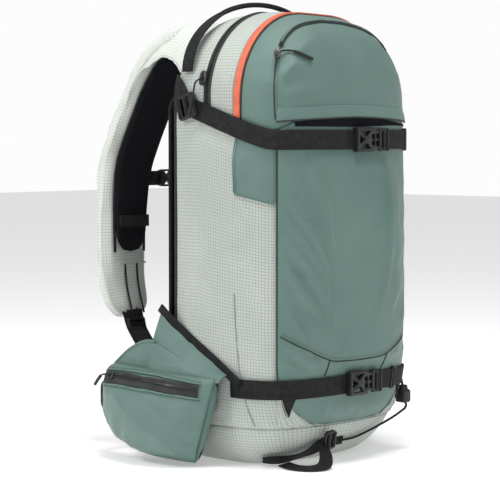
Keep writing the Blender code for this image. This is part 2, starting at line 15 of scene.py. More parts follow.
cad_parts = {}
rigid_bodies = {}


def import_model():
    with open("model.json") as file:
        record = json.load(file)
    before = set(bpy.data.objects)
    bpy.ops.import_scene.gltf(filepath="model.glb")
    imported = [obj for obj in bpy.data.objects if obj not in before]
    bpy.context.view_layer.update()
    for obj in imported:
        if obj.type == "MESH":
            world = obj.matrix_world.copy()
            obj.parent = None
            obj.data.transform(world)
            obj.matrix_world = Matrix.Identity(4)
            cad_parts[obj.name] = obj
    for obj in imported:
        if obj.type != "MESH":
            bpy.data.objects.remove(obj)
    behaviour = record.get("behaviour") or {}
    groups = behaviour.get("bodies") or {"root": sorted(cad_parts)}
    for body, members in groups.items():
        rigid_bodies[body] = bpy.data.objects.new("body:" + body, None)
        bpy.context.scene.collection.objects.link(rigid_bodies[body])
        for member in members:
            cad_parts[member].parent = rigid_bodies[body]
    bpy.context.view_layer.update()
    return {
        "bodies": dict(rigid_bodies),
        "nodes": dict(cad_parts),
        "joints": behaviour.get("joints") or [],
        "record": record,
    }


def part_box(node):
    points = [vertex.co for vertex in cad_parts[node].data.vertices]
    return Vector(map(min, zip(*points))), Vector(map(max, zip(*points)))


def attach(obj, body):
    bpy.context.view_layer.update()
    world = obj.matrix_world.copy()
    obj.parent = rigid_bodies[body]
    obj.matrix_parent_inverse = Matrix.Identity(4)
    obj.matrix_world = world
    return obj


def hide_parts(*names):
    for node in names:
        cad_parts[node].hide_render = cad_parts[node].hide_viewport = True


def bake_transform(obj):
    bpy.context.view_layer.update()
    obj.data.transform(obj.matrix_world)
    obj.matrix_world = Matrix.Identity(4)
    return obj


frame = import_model()

# The bag's section, as in the CAD
HALF_WIDTH, FRONT, BACK, HEIGHT = 0.145, 0.102, 0.100, 0.585
BASE_RISE, BASE_INSET, BASE_BACK_INSET = 0.060, 0.030, 0.008
TAPER_RISE, TAPER_FRONT, TAPER_SIDE, TAPER_ROUNDING = 0.140, 0.034, 0.014, 1.8
SHOULDER_Z, SIDE_ROUND, FRONT_ROUND, BACK_ROUND = 0.470, 0.115, 0.075, 0.050
FRONT_SQUARENESS, BACK_SQUARENESS = 4.0, 8.0
BASE_SEAM_Z, FRONT_SEAM_Y, BACK_SEAM_Y, YOKE_SEAM_Z = 0.052, -0.080, 0.088, 0.462
ZIP_Y, PIPING_Y, LIP_Z = 0.030, -0.020, 0.447
LID_LINE = ((-0.095, LIP_Z), (-0.078, 0.428), (ZIP_Y, 0.457))
BAG_Y = float(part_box("front_panel")[0][1]) + FRONT  # the bag's middle in the frame

UPPER_Z, UPPER_SIDE_SLOPE, LOWER_Z = 0.420, 0.33, 0.104
WEBBING, WEBBING_THICK, STRAP_LIFT, KEEPER_POINT = 0.025, 0.0018, 0.0030, 13
STRAP_LINE = (
    (0.103, 0.553), (0.128, 0.547), (0.156, 0.531), (0.183, 0.495), (0.200, 0.459), (0.218, 0.4175),
    (0.2275, 0.386), (0.231, 0.3465), (0.231, 0.2925), (0.226, 0.227), (0.213, 0.180),
)
SLEEVE_LOW, SLEEVE_HIGH, PAD_LOW = -0.008, 0.018, -0.0165
STRAP_TOP_X, STRAP_FOOT_X = 0.070, 0.094
LOWER_STRAP = ((0.094, 0.2165, 0.192), (0.094, 0.2070, 0.166), (0.099, 0.190, 0.150), (0.112, 0.160, 0.132),
               (0.124, 0.135, 0.118), (0.128, 0.120, 0.106))
WING_X, WING_THICK, WING_FRONT_Y, WING_TIP_Y, POCKET_DEPTH = 0.1535, 0.010, -0.012, 0.190, 0.030
WING_LOW = ((-0.012, 0.006), (0.050, 0.006), (0.105, 0.0095), (0.155, 0.022), (0.180, 0.037), (0.190, 0.058))
WING_HIGH = ((-0.012, 0.119), (0.040, 0.136), (0.100, 0.158), (0.140, 0.147), (0.178, 0.123), (0.190, 0.100))
POCKET_HIGH = ((-0.012, 0.117), (0.160, 0.124), (0.178, 0.120), (0.190, 0.098))

# Seams and zips, as (degrees round the bag, height)
CROSS_SEAM = ((213.5, 0.172), (224, 0.157), (240, 0.139), (255, 0.135), (285, 0.135), (300, 0.139),
              (316, 0.157), (326.5, 0.172))
POCKET_ARC = ((211, 0.446), (210.5, 0.475), (210.5, 0.508), (211.5, 0.532), (215, 0.5530), (224, 0.5665),
              (246, 0.5730), (270, 0.5738))
# The side seam as (Y, height), and the pocket lip as (drop from its line, lift from the fabric)
SIDE_SEAM = ((-0.025, 0.225), (-0.028, 0.150), (-0.034, 0.102), (-0.042, 0.074), (-0.048, 0.056))
LIP_PROFILE = ((0.014, 0.0006), (0.009, 0.0024), (0.004, 0.0042), (0.0, 0.0056), (-0.0022, 0.0050),
               (-0.0016, 0.0030))
# A slider's outline in shares of its size, and the steps along each pull
SLIDER_OUTLINE = ((-0.50, 0.30), (-0.20, 0.50), (0.30, 0.44), (0.50, 0.22), (0.50, -0.22), (0.30, -0.44),
                  (-0.20, -0.50), (-0.50, -0.30))
MAIN_PULL = ((-0.0040, 0, 0), (-0.0130, 0.002, -0.006), (-0.0155, 0.004, -0.022), (-0.0155, 0.009, -0.040),
             (-0.0150, 0.012, -0.050))
POCKET_PULL = ((0.010, 0.004), (0.022, 0.002), (0.036, -0.003), (0.047, -0.007))
HIP_PULL = ((0.003, 0, 0), (0.006, 0.010, -0.002), (0.004, 0.020, -0.008), (0.003, 0.028, -0.016))
# The ski loop's turn and the tool cord's route
SKI_TURN = ((-0.046, -0.086, 0.028), (-0.060, -0.104, 0.014), (-0.076, -0.113, 0.0050),
            (-0.093, -0.106, 0.0030), (-0.100, -0.086, 0.0030), (-0.092, -0.060, 0.0035))
CORD_THICK = 0.0032

RIPSTOP_PITCH, SEAM_SINK, CREASE_PITCH = 0.0042, 0.0012, 0.05
STITCH_PITCH, STITCH_LENGTH, STITCH_RADIUS = 0.0034, 0.0022, 0.00028
SHARP_ANGLE = math.radians(38)
SIDES = ((-1, "left"), (1, "right"))
MADE = bpy.data.collections.new("looks")
bpy.context.scene.collection.children.link(MADE)
MATERIALS = {}


# ---------------------------------------------------------------- camera, light and floor

def add_object(name, data, collection=MADE):
    obj = bpy.data.objects.new(name, data)
    collection.objects.link(obj)
    return obj


def look(obj, at):
    obj.rotation_euler = (Vector(at) - obj.location).to_track_quat("-Z", "Y").to_euler()


def mesh_from(name, bm):
    mesh = bpy.data.meshes.new(name)
    bm.to_mesh(mesh)
    bm.free()
    return mesh


def studio_sky():
    """White at the horizon, dimmer above it and bright again overhead, as in a light tent."""
    sky = bpy.data.worlds.new("studio")
    sky.use_nodes = True
    nodes, link = sky.node_tree.nodes, sky.node_tree.links.new
    split, ramp = nodes.new("ShaderNodeSeparateXYZ"), nodes.new("ShaderNodeValToRGB")
    link(nodes.new("ShaderNodeTexCoord").outputs["Generated"], split.inputs[0])
    link(split.outputs[2], ramp.inputs[0])
    link(ramp.outputs[0], nodes["Background"].inputs[0])
    stops = ((0.0, 0.98), (0.075, 0.98), (0.13, 0.36), (0.30, 0.27), (0.60, 0.34), (1.0, 0.80))
    while len(ramp.color_ramp.elements) < len(stops):
        ramp.color_ramp.elements.new(0.5)
    for element, (where, value) in zip(ramp.color_ramp.elements, stops):
        element.position = where
        element.color = (value, value, value, 1)
    return sky


def camera_light_floor():
    scene = bpy.context.scene
    data = bpy.data.cameras.new("camera")
    camera = add_object("camera", data, scene.collection)
    azimuth, distance, height, drop, beside = math.radians(-48), 2.66, 0.430, 0.157, 0.0605
    toward = Vector((-math.sin(azimuth), math.cos(azimuth), 0))
    across = Vector((math.cos(azimuth), math.sin(azimuth), 0))
    centre = Vector((0, BAG_Y, 0)) - across * beside
    camera.location = centre - toward * distance + Vector((0, 0, height))
    look(camera, centre + Vector((0, 0, height - drop)))
    data.lens = 144
    data.sensor_width = 36
    scene.camera = camera

    scene.world = studio_sky()
    scene.view_settings.view_transform = "Standard"
    for name, place, size, power in (
        ("key", (-2.0, 0.7, 1.9), 0.7, 25), ("fill", (1.9, -1.8, 1.2), 1.8, 2),
        ("front", (-1.3, -2.2, 1.9), 1.0, 4.2), ("top", (-0.2, -0.4, 2.5), 0.9, 34),
    ):
        light = bpy.data.lights.new(name, "AREA")
        light.shape, light.size, light.energy = "DISK", size, power
        lamp = add_object(name, light, scene.collection)
        lamp.location = Vector(place) + Vector((0, BAG_Y, 0))
        look(lamp, (0, BAG_Y, 0.3))

    bm = bmesh.new()
    bmesh.ops.create_grid(bm, x_segments=8, y_segments=8, size=9)
    floor = add_object("floor", mesh_from("floor", bm), scene.collection)
    floor.location.z = -0.0005
    paint = bpy.data.materials.new("floor_paint")
    paint.use_nodes = True
    for key, value in (("Base Color", (0.95, 0.95, 0.95, 1)), ("Roughness", 0.75),
                       ("Emission Color", (1, 1, 1, 1)), ("Emission Strength", 0.27)):
        paint.node_tree.nodes["Principled BSDF"].inputs[key].default_value = value
    floor.data.materials.append(paint)


# ---------------------------------------------------------------- materials

class Paint:
    """A small helper for node materials: each call adds one node and links its inputs."""

    def __init__(self, name):
        self.material = bpy.data.materials.new(name)
        self.material.use_nodes = True
        self.tree = self.material.node_tree
        self.shader = self.tree.nodes["Principled BSDF"]

    def put(self, socket, value):
        """Links an output to an input, or sets the input to a value."""
        if isinstance(value, bpy.types.NodeSocket):
            self.tree.links.new(value, socket)
        else:
            socket.default_value = (*value, 1) if socket.type == "RGBA" else value

    def node(self, kind, inputs=(), **settings):
        made = self.tree.nodes.new(kind)
        for key, value in settings.items():
            setattr(made, key, value)
        for key, value in dict(inputs).items():
            self.put(made.inputs[key], value)
        return made

    def maths(self, operation, a, b=0.0):
        return self.node("ShaderNodeMath", {0: a, 1: b}, operation=operation).outputs[0]

    def uv(self):
        coordinates = self.node("ShaderNodeUVMap", uv_map="weave")
        split = self.node("ShaderNodeSeparateXYZ", {0: coordinates.outputs[0]})
        return split.outputs[0], split.outputs[1]

    def place(self):
        return self.node("ShaderNodeTexCoord").outputs["Object"]

    def noise(self, scale, detail=3.0, roughness=0.55, vector=None):
        return self.node(
            "ShaderNodeTexNoise",
            {"Vector": vector or self.place(), "Scale": scale, "Detail": detail, "Roughness": roughness},
        ).outputs["Fac"]

    def mix(self, factor, a, b):
        return self.node("ShaderNodeMix", {0: factor, 6: a, 7: b}, data_type="RGBA").outputs[2]

    def ramp(self, value, low, high):
        return self.node(
            "ShaderNodeMapRange", {0: value, 1: low, 2: high, 3: 0.0, 4: 1.0}, interpolation_type="SMOOTHSTEP"
        ).outputs[0]

    def tones(self, value, low, high, first, second):
        """From one colour to another, as a value rises from low to high."""
        return self.mix(self.ramp(value, low, high), first, second)

    def finish(self, colour, bump, depth, strength, roughness, **values):
        bumped = self.node("ShaderNodeBump", {"Height": bump, "Distance": depth, "Strength": strength})
        self.put(self.shader.inputs["Base Color"], colour)
        self.put(self.shader.inputs["Roughness"], roughness)
        self.put(self.shader.inputs["Normal"], bumped.outputs[0])
        for key, value in values.items():
            self.shader.inputs[key.replace("_", " ")].default_value = value
        return self.material


def wave(paint, axis, pitch):
    return paint.maths("SINE", paint.maths("MULTIPLY", axis, math.tau / pitch))


def weave_height(paint, pitch):
    """Plain weave: threads crossing at right angles, from the UV map in metres."""
    return paint.maths("MULTIPLY", *(wave(paint, axis, pitch) for axis in paint.uv()))


def grid_lines(paint, pitch, width):
    """1 on the lines of a square grid, from the UV map in metres."""
    lines = []
    for axis in paint.uv():
        share = paint.maths("FRACT", paint.maths("DIVIDE", axis, pitch))
        away = paint.maths("ABSOLUTE", paint.maths("SUBTRACT", share, 0.5))
        lines.append(paint.ramp(away, width, width * 0.35))
    return paint.maths("MAXIMUM", *lines)


# Materials of two tones in slow patches: key, name, scale and lower end of the patches, the tones, the
# surface (a weave's pitch, or a grain's scale and detail), its depth and strength, roughness, other values
PLAIN = (
    ("plastic", "moulded_plastic", 40, 0.3, (0.011, 0.010, 0.012), (0.019, 0.018, 0.021), (900, 2),
     0.00015, 0.5, 0.36, {"Specular_IOR_Level": 0.35}),
    ("tape", "zip_tape", 60, 0.3, (0.030, 0.033, 0.033), (0.046, 0.050, 0.049), (0.0008,), 0.0003,
     0.6, 0.55, {"Specular_IOR_Level": 0.3}),
    ("orange", "orange_piping", 80, 0.3, (0.72, 0.155, 0.075), (0.60, 0.115, 0.055), (700, 2), 0.0002,
     0.5, 0.5, {}),
    ("liner", "dark_liner", 30, 0.3, (0.020, 0.022, 0.022), (0.032, 0.034, 0.034), (0.0009,), 0.0003,
     0.5, 0.75, {}),
    ("metal", "zip_metal", 300, 0.35, (0.030, 0.030, 0.031), (0.085, 0.085, 0.088), (1200, 3), 0.0001,
     0.4, 0.35, {"Metallic": 0.6}),
    ("grey", "grey_moulding", 30, 0.3, (0.16, 0.16, 0.17), (0.21, 0.21, 0.22), (800, 3), 0.0001,
     0.5, 0.45, {}),
    ("airbag", "airbag_nylon", 25, 0.3, (0.52, 0.045, 0.030), (0.64, 0.070, 0.045), (0.0008,), 0.0003,
     0.5, 0.5, {"Sheen_Weight": 0.2}),
)


def make_materials():
    # Painted light: two copies of one white ripstop. The first has darker tones, painted as fabric in shade,
    # for the bag's panels; the second has brighter tones, painted as fabric lit by the key lamp, for the
    # shoulder sleeves and yoke wings.
    for name, strength, light, dark in (
        ("ripstop", 0.60, (0.51, 0.545, 0.500), (0.45, 0.485, 0.450)),
        ("ripstop_painted_lit", 0.42, (0.74, 0.775, 0.715), (0.68, 0.715, 0.665)),
    ):
        paint = Paint(name + "_white")
        lines = grid_lines(paint, RIPSTOP_PITCH, 0.115)
        base = paint.tones(paint.noise(9.0), 0.3, 0.7, light, dark)
        colour = paint.mix(paint.maths("MULTIPLY", lines, strength), base, (0.13, 0.17, 0.155))
        height = paint.maths("ADD", paint.maths("MULTIPLY", weave_height(paint, 0.0007), 0.35), lines)
        MATERIALS[name] = paint.finish(colour, height, 0.0002, 0.6, 0.62, Sheen_Weight=0.05)

    paint = Paint("coated_green")
    colour = paint.tones(paint.noise(14.0, 4.0), 0.25, 0.75, (0.100, 0.180, 0.157), (0.120, 0.206, 0.181))
    crease = paint.noise(55.0, 4.0, 0.6)
    weave = paint.maths("MULTIPLY", weave_height(paint, 0.0006), 0.16)
    height = paint.maths("ADD", weave, paint.maths("MULTIPLY", crease, 0.8))
    rough = paint.node("ShaderNodeMapRange", {0: crease, 1: 0.2, 2: 0.8, 3: 0.38, 4: 0.52}).outputs[0]
    MATERIALS["green"] = paint.finish(colour, height, 0.0006, 0.5, rough, Sheen_Weight=0.05)

    paint = Paint("black_webbing")
    u, v = paint.uv()
    height = paint.maths("ADD", wave(paint, u, 0.0016), paint.maths("MULTIPLY", wave(paint, v, 0.0030), 0.7))
    colour = paint.tones(paint.noise(120.0), 0.35, 0.75, (0.007, 0.007, 0.008), (0.017, 0.017, 0.019))
    MATERIALS["webbing"] = paint.finish(colour, height, 0.0003, 0.8, 0.68, Specular_IOR_Level=0.25)

    paint = Paint("black_knit")
    height = weave_height(paint, 0.0016)
    colour = paint.tones(height, -0.6, 0.8, (0.006, 0.006, 0.009), (0.018, 0.018, 0.024))
    MATERIALS["knit"] = paint.finish(colour, height, 0.0005, 0.9, 0.85, Specular_IOR_Level=0.12)

    paint = Paint("spacer_mesh")
    holes = paint.node(
        "ShaderNodeTexVoronoi", {"Vector": paint.place(), "Scale": 330.0, "Randomness": 0.15}
    ).outputs["Distance"]
    colour = paint.tones(holes, 0.15, 0.5, (0.008, 0.009, 0.009), (0.060, 0.063, 0.062))
    MATERIALS["mesh"] = paint.finish(colour, holes, 0.0012, 1.0, 0.9, Specular_IOR_Level=0.2)

    paint = Paint("brushed_aluminium")
    stretched = paint.node("ShaderNodeMapping", {"Vector": paint.place(), "Scale": (900.0, 900.0, 20.0)})
    streaks = paint.noise(1.0, 3.0, 0.6, stretched.outputs[0])
    colour = paint.mix(streaks, (0.62, 0.62, 0.64), (0.76, 0.76, 0.78))
    MATERIALS["aluminium"] = paint.finish(colour, streaks, 0.0001, 0.3, 0.34, Metallic=1.0)

    for key, name, patch, low, first, second, surface, depth, strength, rough, values in PLAIN:
        paint = Paint(name)
        colour = paint.tones(paint.noise(patch), low, 0.7, first, second)
        height = weave_height(paint, *surface) if len(surface) == 1 else paint.noise(*surface)
        MATERIALS[key] = paint.finish(colour, height, depth, strength, rough, **values)


# ---------------------------------------------------------------- the bag's form

def rounding(t):
    return 1 - math.sqrt(1 - min(t, 1.0) ** 2)


def taper(z):
    """How far the bag's foot has narrowed at height z, from 0 at TAPER_RISE to 1 at the base."""
    return max(0.0, (TAPER_RISE - z) / TAPER_RISE) ** 2


def section(z):
    """Half width, front and back distance of the bag at height z."""
    low = rounding((BASE_RISE - z) / BASE_RISE) if z < BASE_RISE else 0.0
    top = rounding((z - SHOULDER_Z) / (HEIGHT - SHOULDER_Z)) if z > SHOULDER_Z else 0.0
    return (
        HALF_WIDTH - low * BASE_INSET - top * SIDE_ROUND - taper(z) * TAPER_SIDE,
        FRONT - low * BASE_INSET - top * FRONT_ROUND - taper(z) * TAPER_FRONT,
        BACK - low * BASE_BACK_INSET - top * BACK_ROUND,
    )


def half_section(z, at_back):
    """Half width, depth and squareness of the front or the back half of the bag at height z."""
    half, front, back = section(z)
    if at_back:
        return half, back, BACK_SQUARENESS
    return half, front, FRONT_SQUARENESS - TAPER_ROUNDING * taper(z)


def bag_point(angle, z):
    """The bag's surface at an angle round its axis from +X, in radians, and a height."""
    half, deep, power = half_section(z, math.sin(angle) > 0)
    reach = (abs(math.cos(angle) / half) ** power + abs(math.sin(angle) / deep) ** power) ** (-1 / power)
    return Vector((reach * math.cos(angle), reach * math.sin(angle), z))


def bag_value(p):
    """Under 1 inside the bag's section at the point's height, over 1 outside it."""
    half, deep, power = half_section(min(max(p.z, 0.0), HEIGHT - 1e-4), p.y > 0)
    return abs(p.x / half) ** power + abs(p.y / deep) ** power


def bag_normal(p):
    if p.z > HEIGHT - 5e-4:
        return Vector((0, 0, 1))
    step = 4e-4
    axes = (Vector((step, 0, 0)), Vector((0, step, 0)), Vector((0, 0, step)))
    slope = Vector([bag_value(p + a) - bag_value(p - a) for a in axes])
    return slope.normalized()


def angle_at_y(y, z, side):
    """The angle on the left (-1) or right (1) side where the surface has this Y."""
    low, high = (math.pi / 2, 3 * math.pi / 2) if side < 0 else (-math.pi / 2, math.pi / 2)
    for _ in range(36):
        middle = (low + high) / 2
        if (bag_point(middle, z).y > y) == (side < 0):
            low = middle
        else:
            high = middle
    return (low + high) / 2


def between(points, at):
    """Height of a line through (place, height) points at a place."""
    for (p0, h0), (p1, h1) in zip(points, points[1:]):
        if at <= p1:
            return h0 + (h1 - h0) * max(0.0, (at - p0) / (p1 - p0))
    return points[-1][1]


def world(p):
    return Vector((p[0], p[1] + BAG_Y, p[2]))


# ---------------------------------------------------------------- making meshes

def in_bag(p):
    """A point of the frame in the bag's own coordinates: world() the other way."""
    return Vector((p[0], p[1] - BAG_Y, p[2]))


def heading(points, i):
    """The way a line runs past its point i."""
    return points[min(i + 1, len(points) - 1)] - points[max(i - 1, 0)]


def side_point(y, z, side):
    """The bag's surface at a Y and a height, on its left (-1) or right (1)."""
    return bag_point(angle_at_y(y, z, side), z)


def squared(value, power):
    """Bends a sine or a cosine, so that a ring drawn with it is a rounded rectangle."""
    return math.copysign(abs(value) ** power, value)


def coordinates(obj):
    return np.array([tuple(v.co) for v in obj.data.vertices])


def move_to(obj, points):
    obj.data.vertices.foreach_set("co", points.astype(np.float32).reshape(-1))
    obj.data.update()


def face_out(obj, out):
    """Turns a sheet over if it faces inwards. out is a direction, or a function of a face's centre."""
    if sum(p.normal.dot(out(p.center) if callable(out) else out) for p in obj.data.polygons) < 0:
        obj.data.flip_normals()


def grid_object(name, rows, material, loop=False, caps=False):
    """A grid of points, rows by columns, as a mesh with a UV map in metres named weave."""
    rows = [[world(p) for p in row] for row in rows]
    down, wide = len(rows), len(rows[0])
    faces = []
    for i in range(down - 1):
        for j in range(wide if loop else wide - 1):
            k = (j + 1) % wide
            faces.append((i * wide + j, i * wide + k, (i + 1) * wide + k, (i + 1) * wide + j))
    if caps:
        faces.append(tuple(reversed(range(wide))))
        faces.append(tuple((down - 1) * wide + j for j in range(wide)))
    mesh = bpy.data.meshes.new(name)
    mesh.from_pydata([p for row in rows for p in row], [], faces)
    middle, column = rows[down // 2], wide // 2
    across, along = [0.0], [0.0]
    for j in range(wide):
        across.append(across[-1] + (middle[(j + 1) % wide] - middle[j]).length)
    for low, high in zip(rows, rows[1:]):
        along.append(along[-1] + (high[column] - low[column]).length)
    layer = mesh.uv_layers.new(name="weave")
    for polygon in mesh.polygons:
        corners = [mesh.loops[k].vertex_index for k in polygon.loop_indices]
        wraps = len(corners) == 4 and loop and {c % wide for c in corners} == {0, wide - 1}
        for loop_index, corner in zip(polygon.loop_indices, corners):
            i, j = divmod(corner, wide)
            layer.data[loop_index].uv = (across[wide if wraps and j == 0 else j], along[i])
    mesh.materials.append(MATERIALS[material])
    mesh.shade_smooth()
    return add_object(name, mesh)


def flat_mesh(name, bm, material):
    """Finishes a bmesh, given in bag coordinates, as an object with a box-mapped UV map."""
    for vertex in bm.verts:
        vertex.co = world(vertex.co)
    bmesh.ops.recalc_face_normals(bm, faces=bm.faces)
    layer = bm.loops.layers.uv.new("weave")
    for face in bm.faces:
        a, b = sorted(sorted(range(3), key=lambda k: abs(face.normal[k]))[:2])
        for corner in face.loops:
            corner[layer].uv = (corner.vert.co[a], corner.vert.co[b])
    mesh = mesh_from(name, bm)
    mesh.materials.append(MATERIALS[material])
    mesh.shade_smooth()
    mesh.set_sharp_from_angle(angle=SHARP_ANGLE)
    return add_object(name, mesh)


def add_modifier(obj, kind, **settings):
    modifier = obj.modifiers.new(kind.lower(), kind)
    for key, value in settings.items():
        setattr(modifier, key, value)
    return modifier


def vertex_normals(obj):
    return np.array([tuple(v.normal) for v in obj.data.vertices])


def thicken(obj, thickness, offset=-1, smooth=True, **settings):
    """Gives a sheet its thickness, and a large one a smoother surface first."""
    if smooth:
        add_modifier(obj, "SUBSURF", levels=1, render_levels=1)
    add_modifier(obj, "SOLIDIFY", thickness=thickness, offset=offset, **settings)


def finalise(obj):
    """Puts the evaluated mesh in place of an object's modifiers."""
    bpy.context.view_layer.update()
    final = bpy.data.meshes.new_from_object(obj.evaluated_get(bpy.context.evaluated_depsgraph_get()))
    obj.modifiers.clear()
    obj.data = final


CLOTH_FRAMES = 18


def cloth_run(obj, pinned, pressure, grow, cap, squeeze=None):
    """Lets the fabric swell between its pinned seams, then holds each point within cap of where it was."""
    rest, normals = coordinates(obj), vertex_normals(obj)
    obj.vertex_groups.new(name="seams").add([int(i) for i in pinned], 1.0, "REPLACE")
    modifier = add_modifier(obj, "CLOTH")
    settings = modifier.settings
    settings.quality = 4
    settings.mass = 0.15
    settings.tension_stiffness = settings.compression_stiffness = 25
    settings.shear_stiffness = 8
    settings.bending_stiffness = 0.4
    settings.vertex_group_mass = "seams"
    settings.shrink_min = -grow
    settings.use_pressure = True
    settings.uniform_pressure_force = pressure
    settings.effector_weights.gravity = 0
    modifier.collision_settings.use_collision = False
    modifier.point_cache.frame_end = CLOTH_FRAMES + 1
    for step in range(1, CLOTH_FRAMES + 1):
        bpy.context.scene.frame_set(step)
    evaluated = obj.evaluated_get(bpy.context.evaluated_depsgraph_get())
    moved = np.array([tuple(v.co) for v in evaluated.to_mesh().vertices])
    evaluated.to_mesh_clear()
    obj.modifiers.remove(modifier)
    bpy.context.scene.frame_set(1)
    shift = np.nan_to_num(moved - rest)
    size = np.linalg.norm(shift, axis=1, keepdims=True)
    shift *= np.tanh(size / cap) * cap / np.maximum(size, 1e-9)
    inward = np.minimum((shift * normals).sum(axis=1, keepdims=True), 0)
    shift -= normals * inward * 0.75
    if squeeze is not None:
        shift *= np.array([squeeze(Vector(p)) for p in rest])[:, None]
    move_to(obj, rest + shift)
    obj.vertex_groups.clear()


def border_of(down, wide):
    """The points round a grid's edge."""
    ends = set(range(wide)) | set(range((down - 1) * wide, down * wide))
    return sorted(ends | {i * wide + j for i in range(down) for j in (0, wide - 1)})


def from_edge(down, wide, reach):
    """0 on a grid's edge, rising to 1 at a number of points from it."""
    i, j = np.divmod(np.arange(down * wide), wide)
    rim = np.minimum(np.minimum(i, down - 1 - i), np.minimum(j, wide - 1 - j))
    return np.clip(rim / reach, 0, 1)


def settle(obj, body, material, *nodes):
    """Says which body a piece moves with and which nodes it stands for. The material argument is not used."""
    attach(obj, body)
    if nodes:
        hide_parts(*nodes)


def span(obj, slot, bodies, places, *nodes):
    """For fabric or webbing that reaches from one body to another: bakes its transform and hides the nodes it
    stands for. The slot, bodies and places arguments are not used.
    """
    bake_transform(obj)
    if nodes:
        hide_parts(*nodes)


# ---------------------------------------------------------------- bag panels

SKINS = []


def strap_height(y):
    return UPPER_Z + UPPER_SIDE_SLOPE * max(0.0, y + 0.075)


def strap_squeeze(p):
    """How much a panel may swell: little where a compression strap lies over it."""
    y = p.y - BAG_Y
    near = min(abs(p.z - strap_height(y)), abs(p.z - LOWER_Z) if y < 0.02 else 1.0)
    share = min(max((near - 0.010) / 0.030, 0.0), 1.0)
    return 0.10 + 0.90 * share * share * (3 - 2 * share)


def sink_border(rows):
    """Rolls the edge of a grid into the bag a little, so that sewn panels meet in a groove."""
    for i, row in enumerate(rows):
        for j, point in enumerate(row):
            if i in (0, len(rows) - 1) or j in (0, len(row) - 1):
                row[j] = point - bag_normal(point) * SEAM_SINK
    return rows


def fold_set(seed, count, spots, slope, length, depth, width):
    """Folds that start at a seam: (start degrees and height, end degrees and height, depth, width)."""
    rng = np.random.default_rng(seed)
    folds = []
    for _ in range(count):
        angle, inward, low, high = spots[rng.integers(len(spots))]
        z = rng.uniform(low, high)
        run = rng.uniform(*length)
        folds.append((
            angle, z, angle + inward * run, min(z + rng.uniform(*slope) * run * 0.0005, HEIGHT - 0.012),
            rng.uniform(*depth), rng.uniform(*width),
        ))
    return folds


def crumple(obj, grid, folds, drift, seed):
    """Presses folds and a slow uneven drift into a panel, along the bag's own directions."""
    points = coordinates(obj) - (0, BAG_Y, 0)
    normals = np.array([tuple(bag_normal(Vector(p))) for p in points])
    shift = np.zeros(len(points))
    for a0, z0, a1, z1, depth, width in folds:
        start = np.array(tuple(bag_point(math.radians(a0), z0)))
        line = np.array(tuple(bag_point(math.radians(a1), z1))) - start
        size = np.linalg.norm(line)
        share = ((points - start) @ line) / size ** 2
        along = np.clip(share, 0, 1)
        bow = 0.10 * size * np.sin(np.pi * along)
        away = ((points - start) * np.cross(normals, line / size)).sum(axis=1) - bow
        near = np.linalg.norm(points - start - np.outer(share, line), axis=1)
        fade = np.clip(share / 0.12, 0, 1) * np.clip((1 - share) / 0.75, 0, 1)
        reach = (away / (width * (0.55 + 0.75 * along))) ** 2
        shift += depth * fade * (1 - reach) * np.exp(-reach) * (near < 0.06)
    rng = np.random.default_rng(seed)
    for _ in range(9):
        wave = rng.normal(size=3) * (16, 16, 11)
        shift += drift / 3 * np.sin(points @ wave + rng.uniform(0, math.tau))
    keep = np.array([strap_squeeze(world(p)) for p in points])
    move_to(obj, points + normals * (shift * keep * from_edge(*grid, 4))[:, None] + (0, BAG_Y, 0))


def bag_panel(name, rows, material, body, node, pressure=2.0, grow=0.012, cap=0.005, second=None, folds=(),
              drift=0.0008):
    """A sewn panel, swollen between its seams and creased. second is another colour and where it lies."""
    grid = len(rows), len(rows[0])
    obj = grid_object(name, sink_border(rows), material)
    face_out(obj, lambda centre: bag_normal(in_bag(centre)))
    cloth_run(obj, border_of(*grid), pressure, grow, cap, squeeze=strap_squeeze)
    crumple(obj, grid, folds, drift, len(name) + grid[1])
    if second:
        extra, test = second
        obj.data.materials.append(MATERIALS[extra])
        for polygon in obj.data.polygons:
            polygon.material_index = int(test(in_bag(polygon.center)))
    line_inside(obj)
    settle(obj, body, material, node)
    SKINS.append(obj)


def line_inside(obj):
    """Gives a fabric panel its thickness, with a dark coating on the inner face."""
    outer = len(obj.data.materials)
    obj.data.materials.append(MATERIALS["liner"])
    thicken(obj, 0.0012, material_offset=outer)


def steps(low, high, count):
    return [low + (high - low) * i / count for i in range(count + 1)]


def side_top(y):
    """The lower bag's upper edge on the sides."""
    if y > ZIP_Y:
        return YOKE_SEAM_Z
    return between(LID_LINE, y)


def ring_rows(low, high, count, wide):
    """Rows round the front of the bag, from its left corner seam to its right one."""
    middle = (low(FRONT_SEAM_Y) + high(FRONT_SEAM_Y)) / 2
    a0, a1 = angle_at_y(FRONT_SEAM_Y, middle, -1), angle_at_y(FRONT_SEAM_Y, middle, 1) + math.tau
    rows = []
    for t in steps(0, 1, count):
        row = []
        for angle in steps(a0, a1, wide):
            y = bag_point(angle, 0.3).y
            row.append(bag_point(angle, low(y) + (high(y) - low(y)) * t))
        rows.append(row)
    return rows


def lip_line(y):
    """The lid's lower edge: level across the front, then along the lid's line on the sides."""
    return between(LID_LINE, y) if y > LID_LINE[0][0] else LIP_Z


def front_panel():
    sides = ((213, 1, 0.15, 0.40), (213, 1, 0.22, 0.40), (327, -1, 0.16, 0.40))
    top = ((225, 1, 0.385, 0.40), (300, -1, 0.385, 0.40))
    foot = ((214, 1, 0.065, 0.080), (240, 1, 0.066, 0.08), (326, -1, 0.065, 0.08))
    folds = fold_set(11, 13, sides, (-24, -6), (20, 62), (0.0024, 0.0046), (0.006, 0.013))
    folds += fold_set(12, 5, top, (-30, -16), (14, 30), (0.002, 0.0036), (0.006, 0.010))
    folds += fold_set(13, 6, foot, (-6, 8), (14, 30), (0.0014, 0.0026), (0.005, 0.008))
    rows = ring_rows(lambda _: BASE_SEAM_Z, lip_line, 104, 84)
    bag_panel("front_fabric", rows, "green", "pack", "front_panel", 3.0, 0.030, 0.0065, folds=folds,
              drift=0.0026)


INSERT_Y, INSERT_BACK_Z, INSERT_FRONT_Z = -0.027, 0.352, 0.338


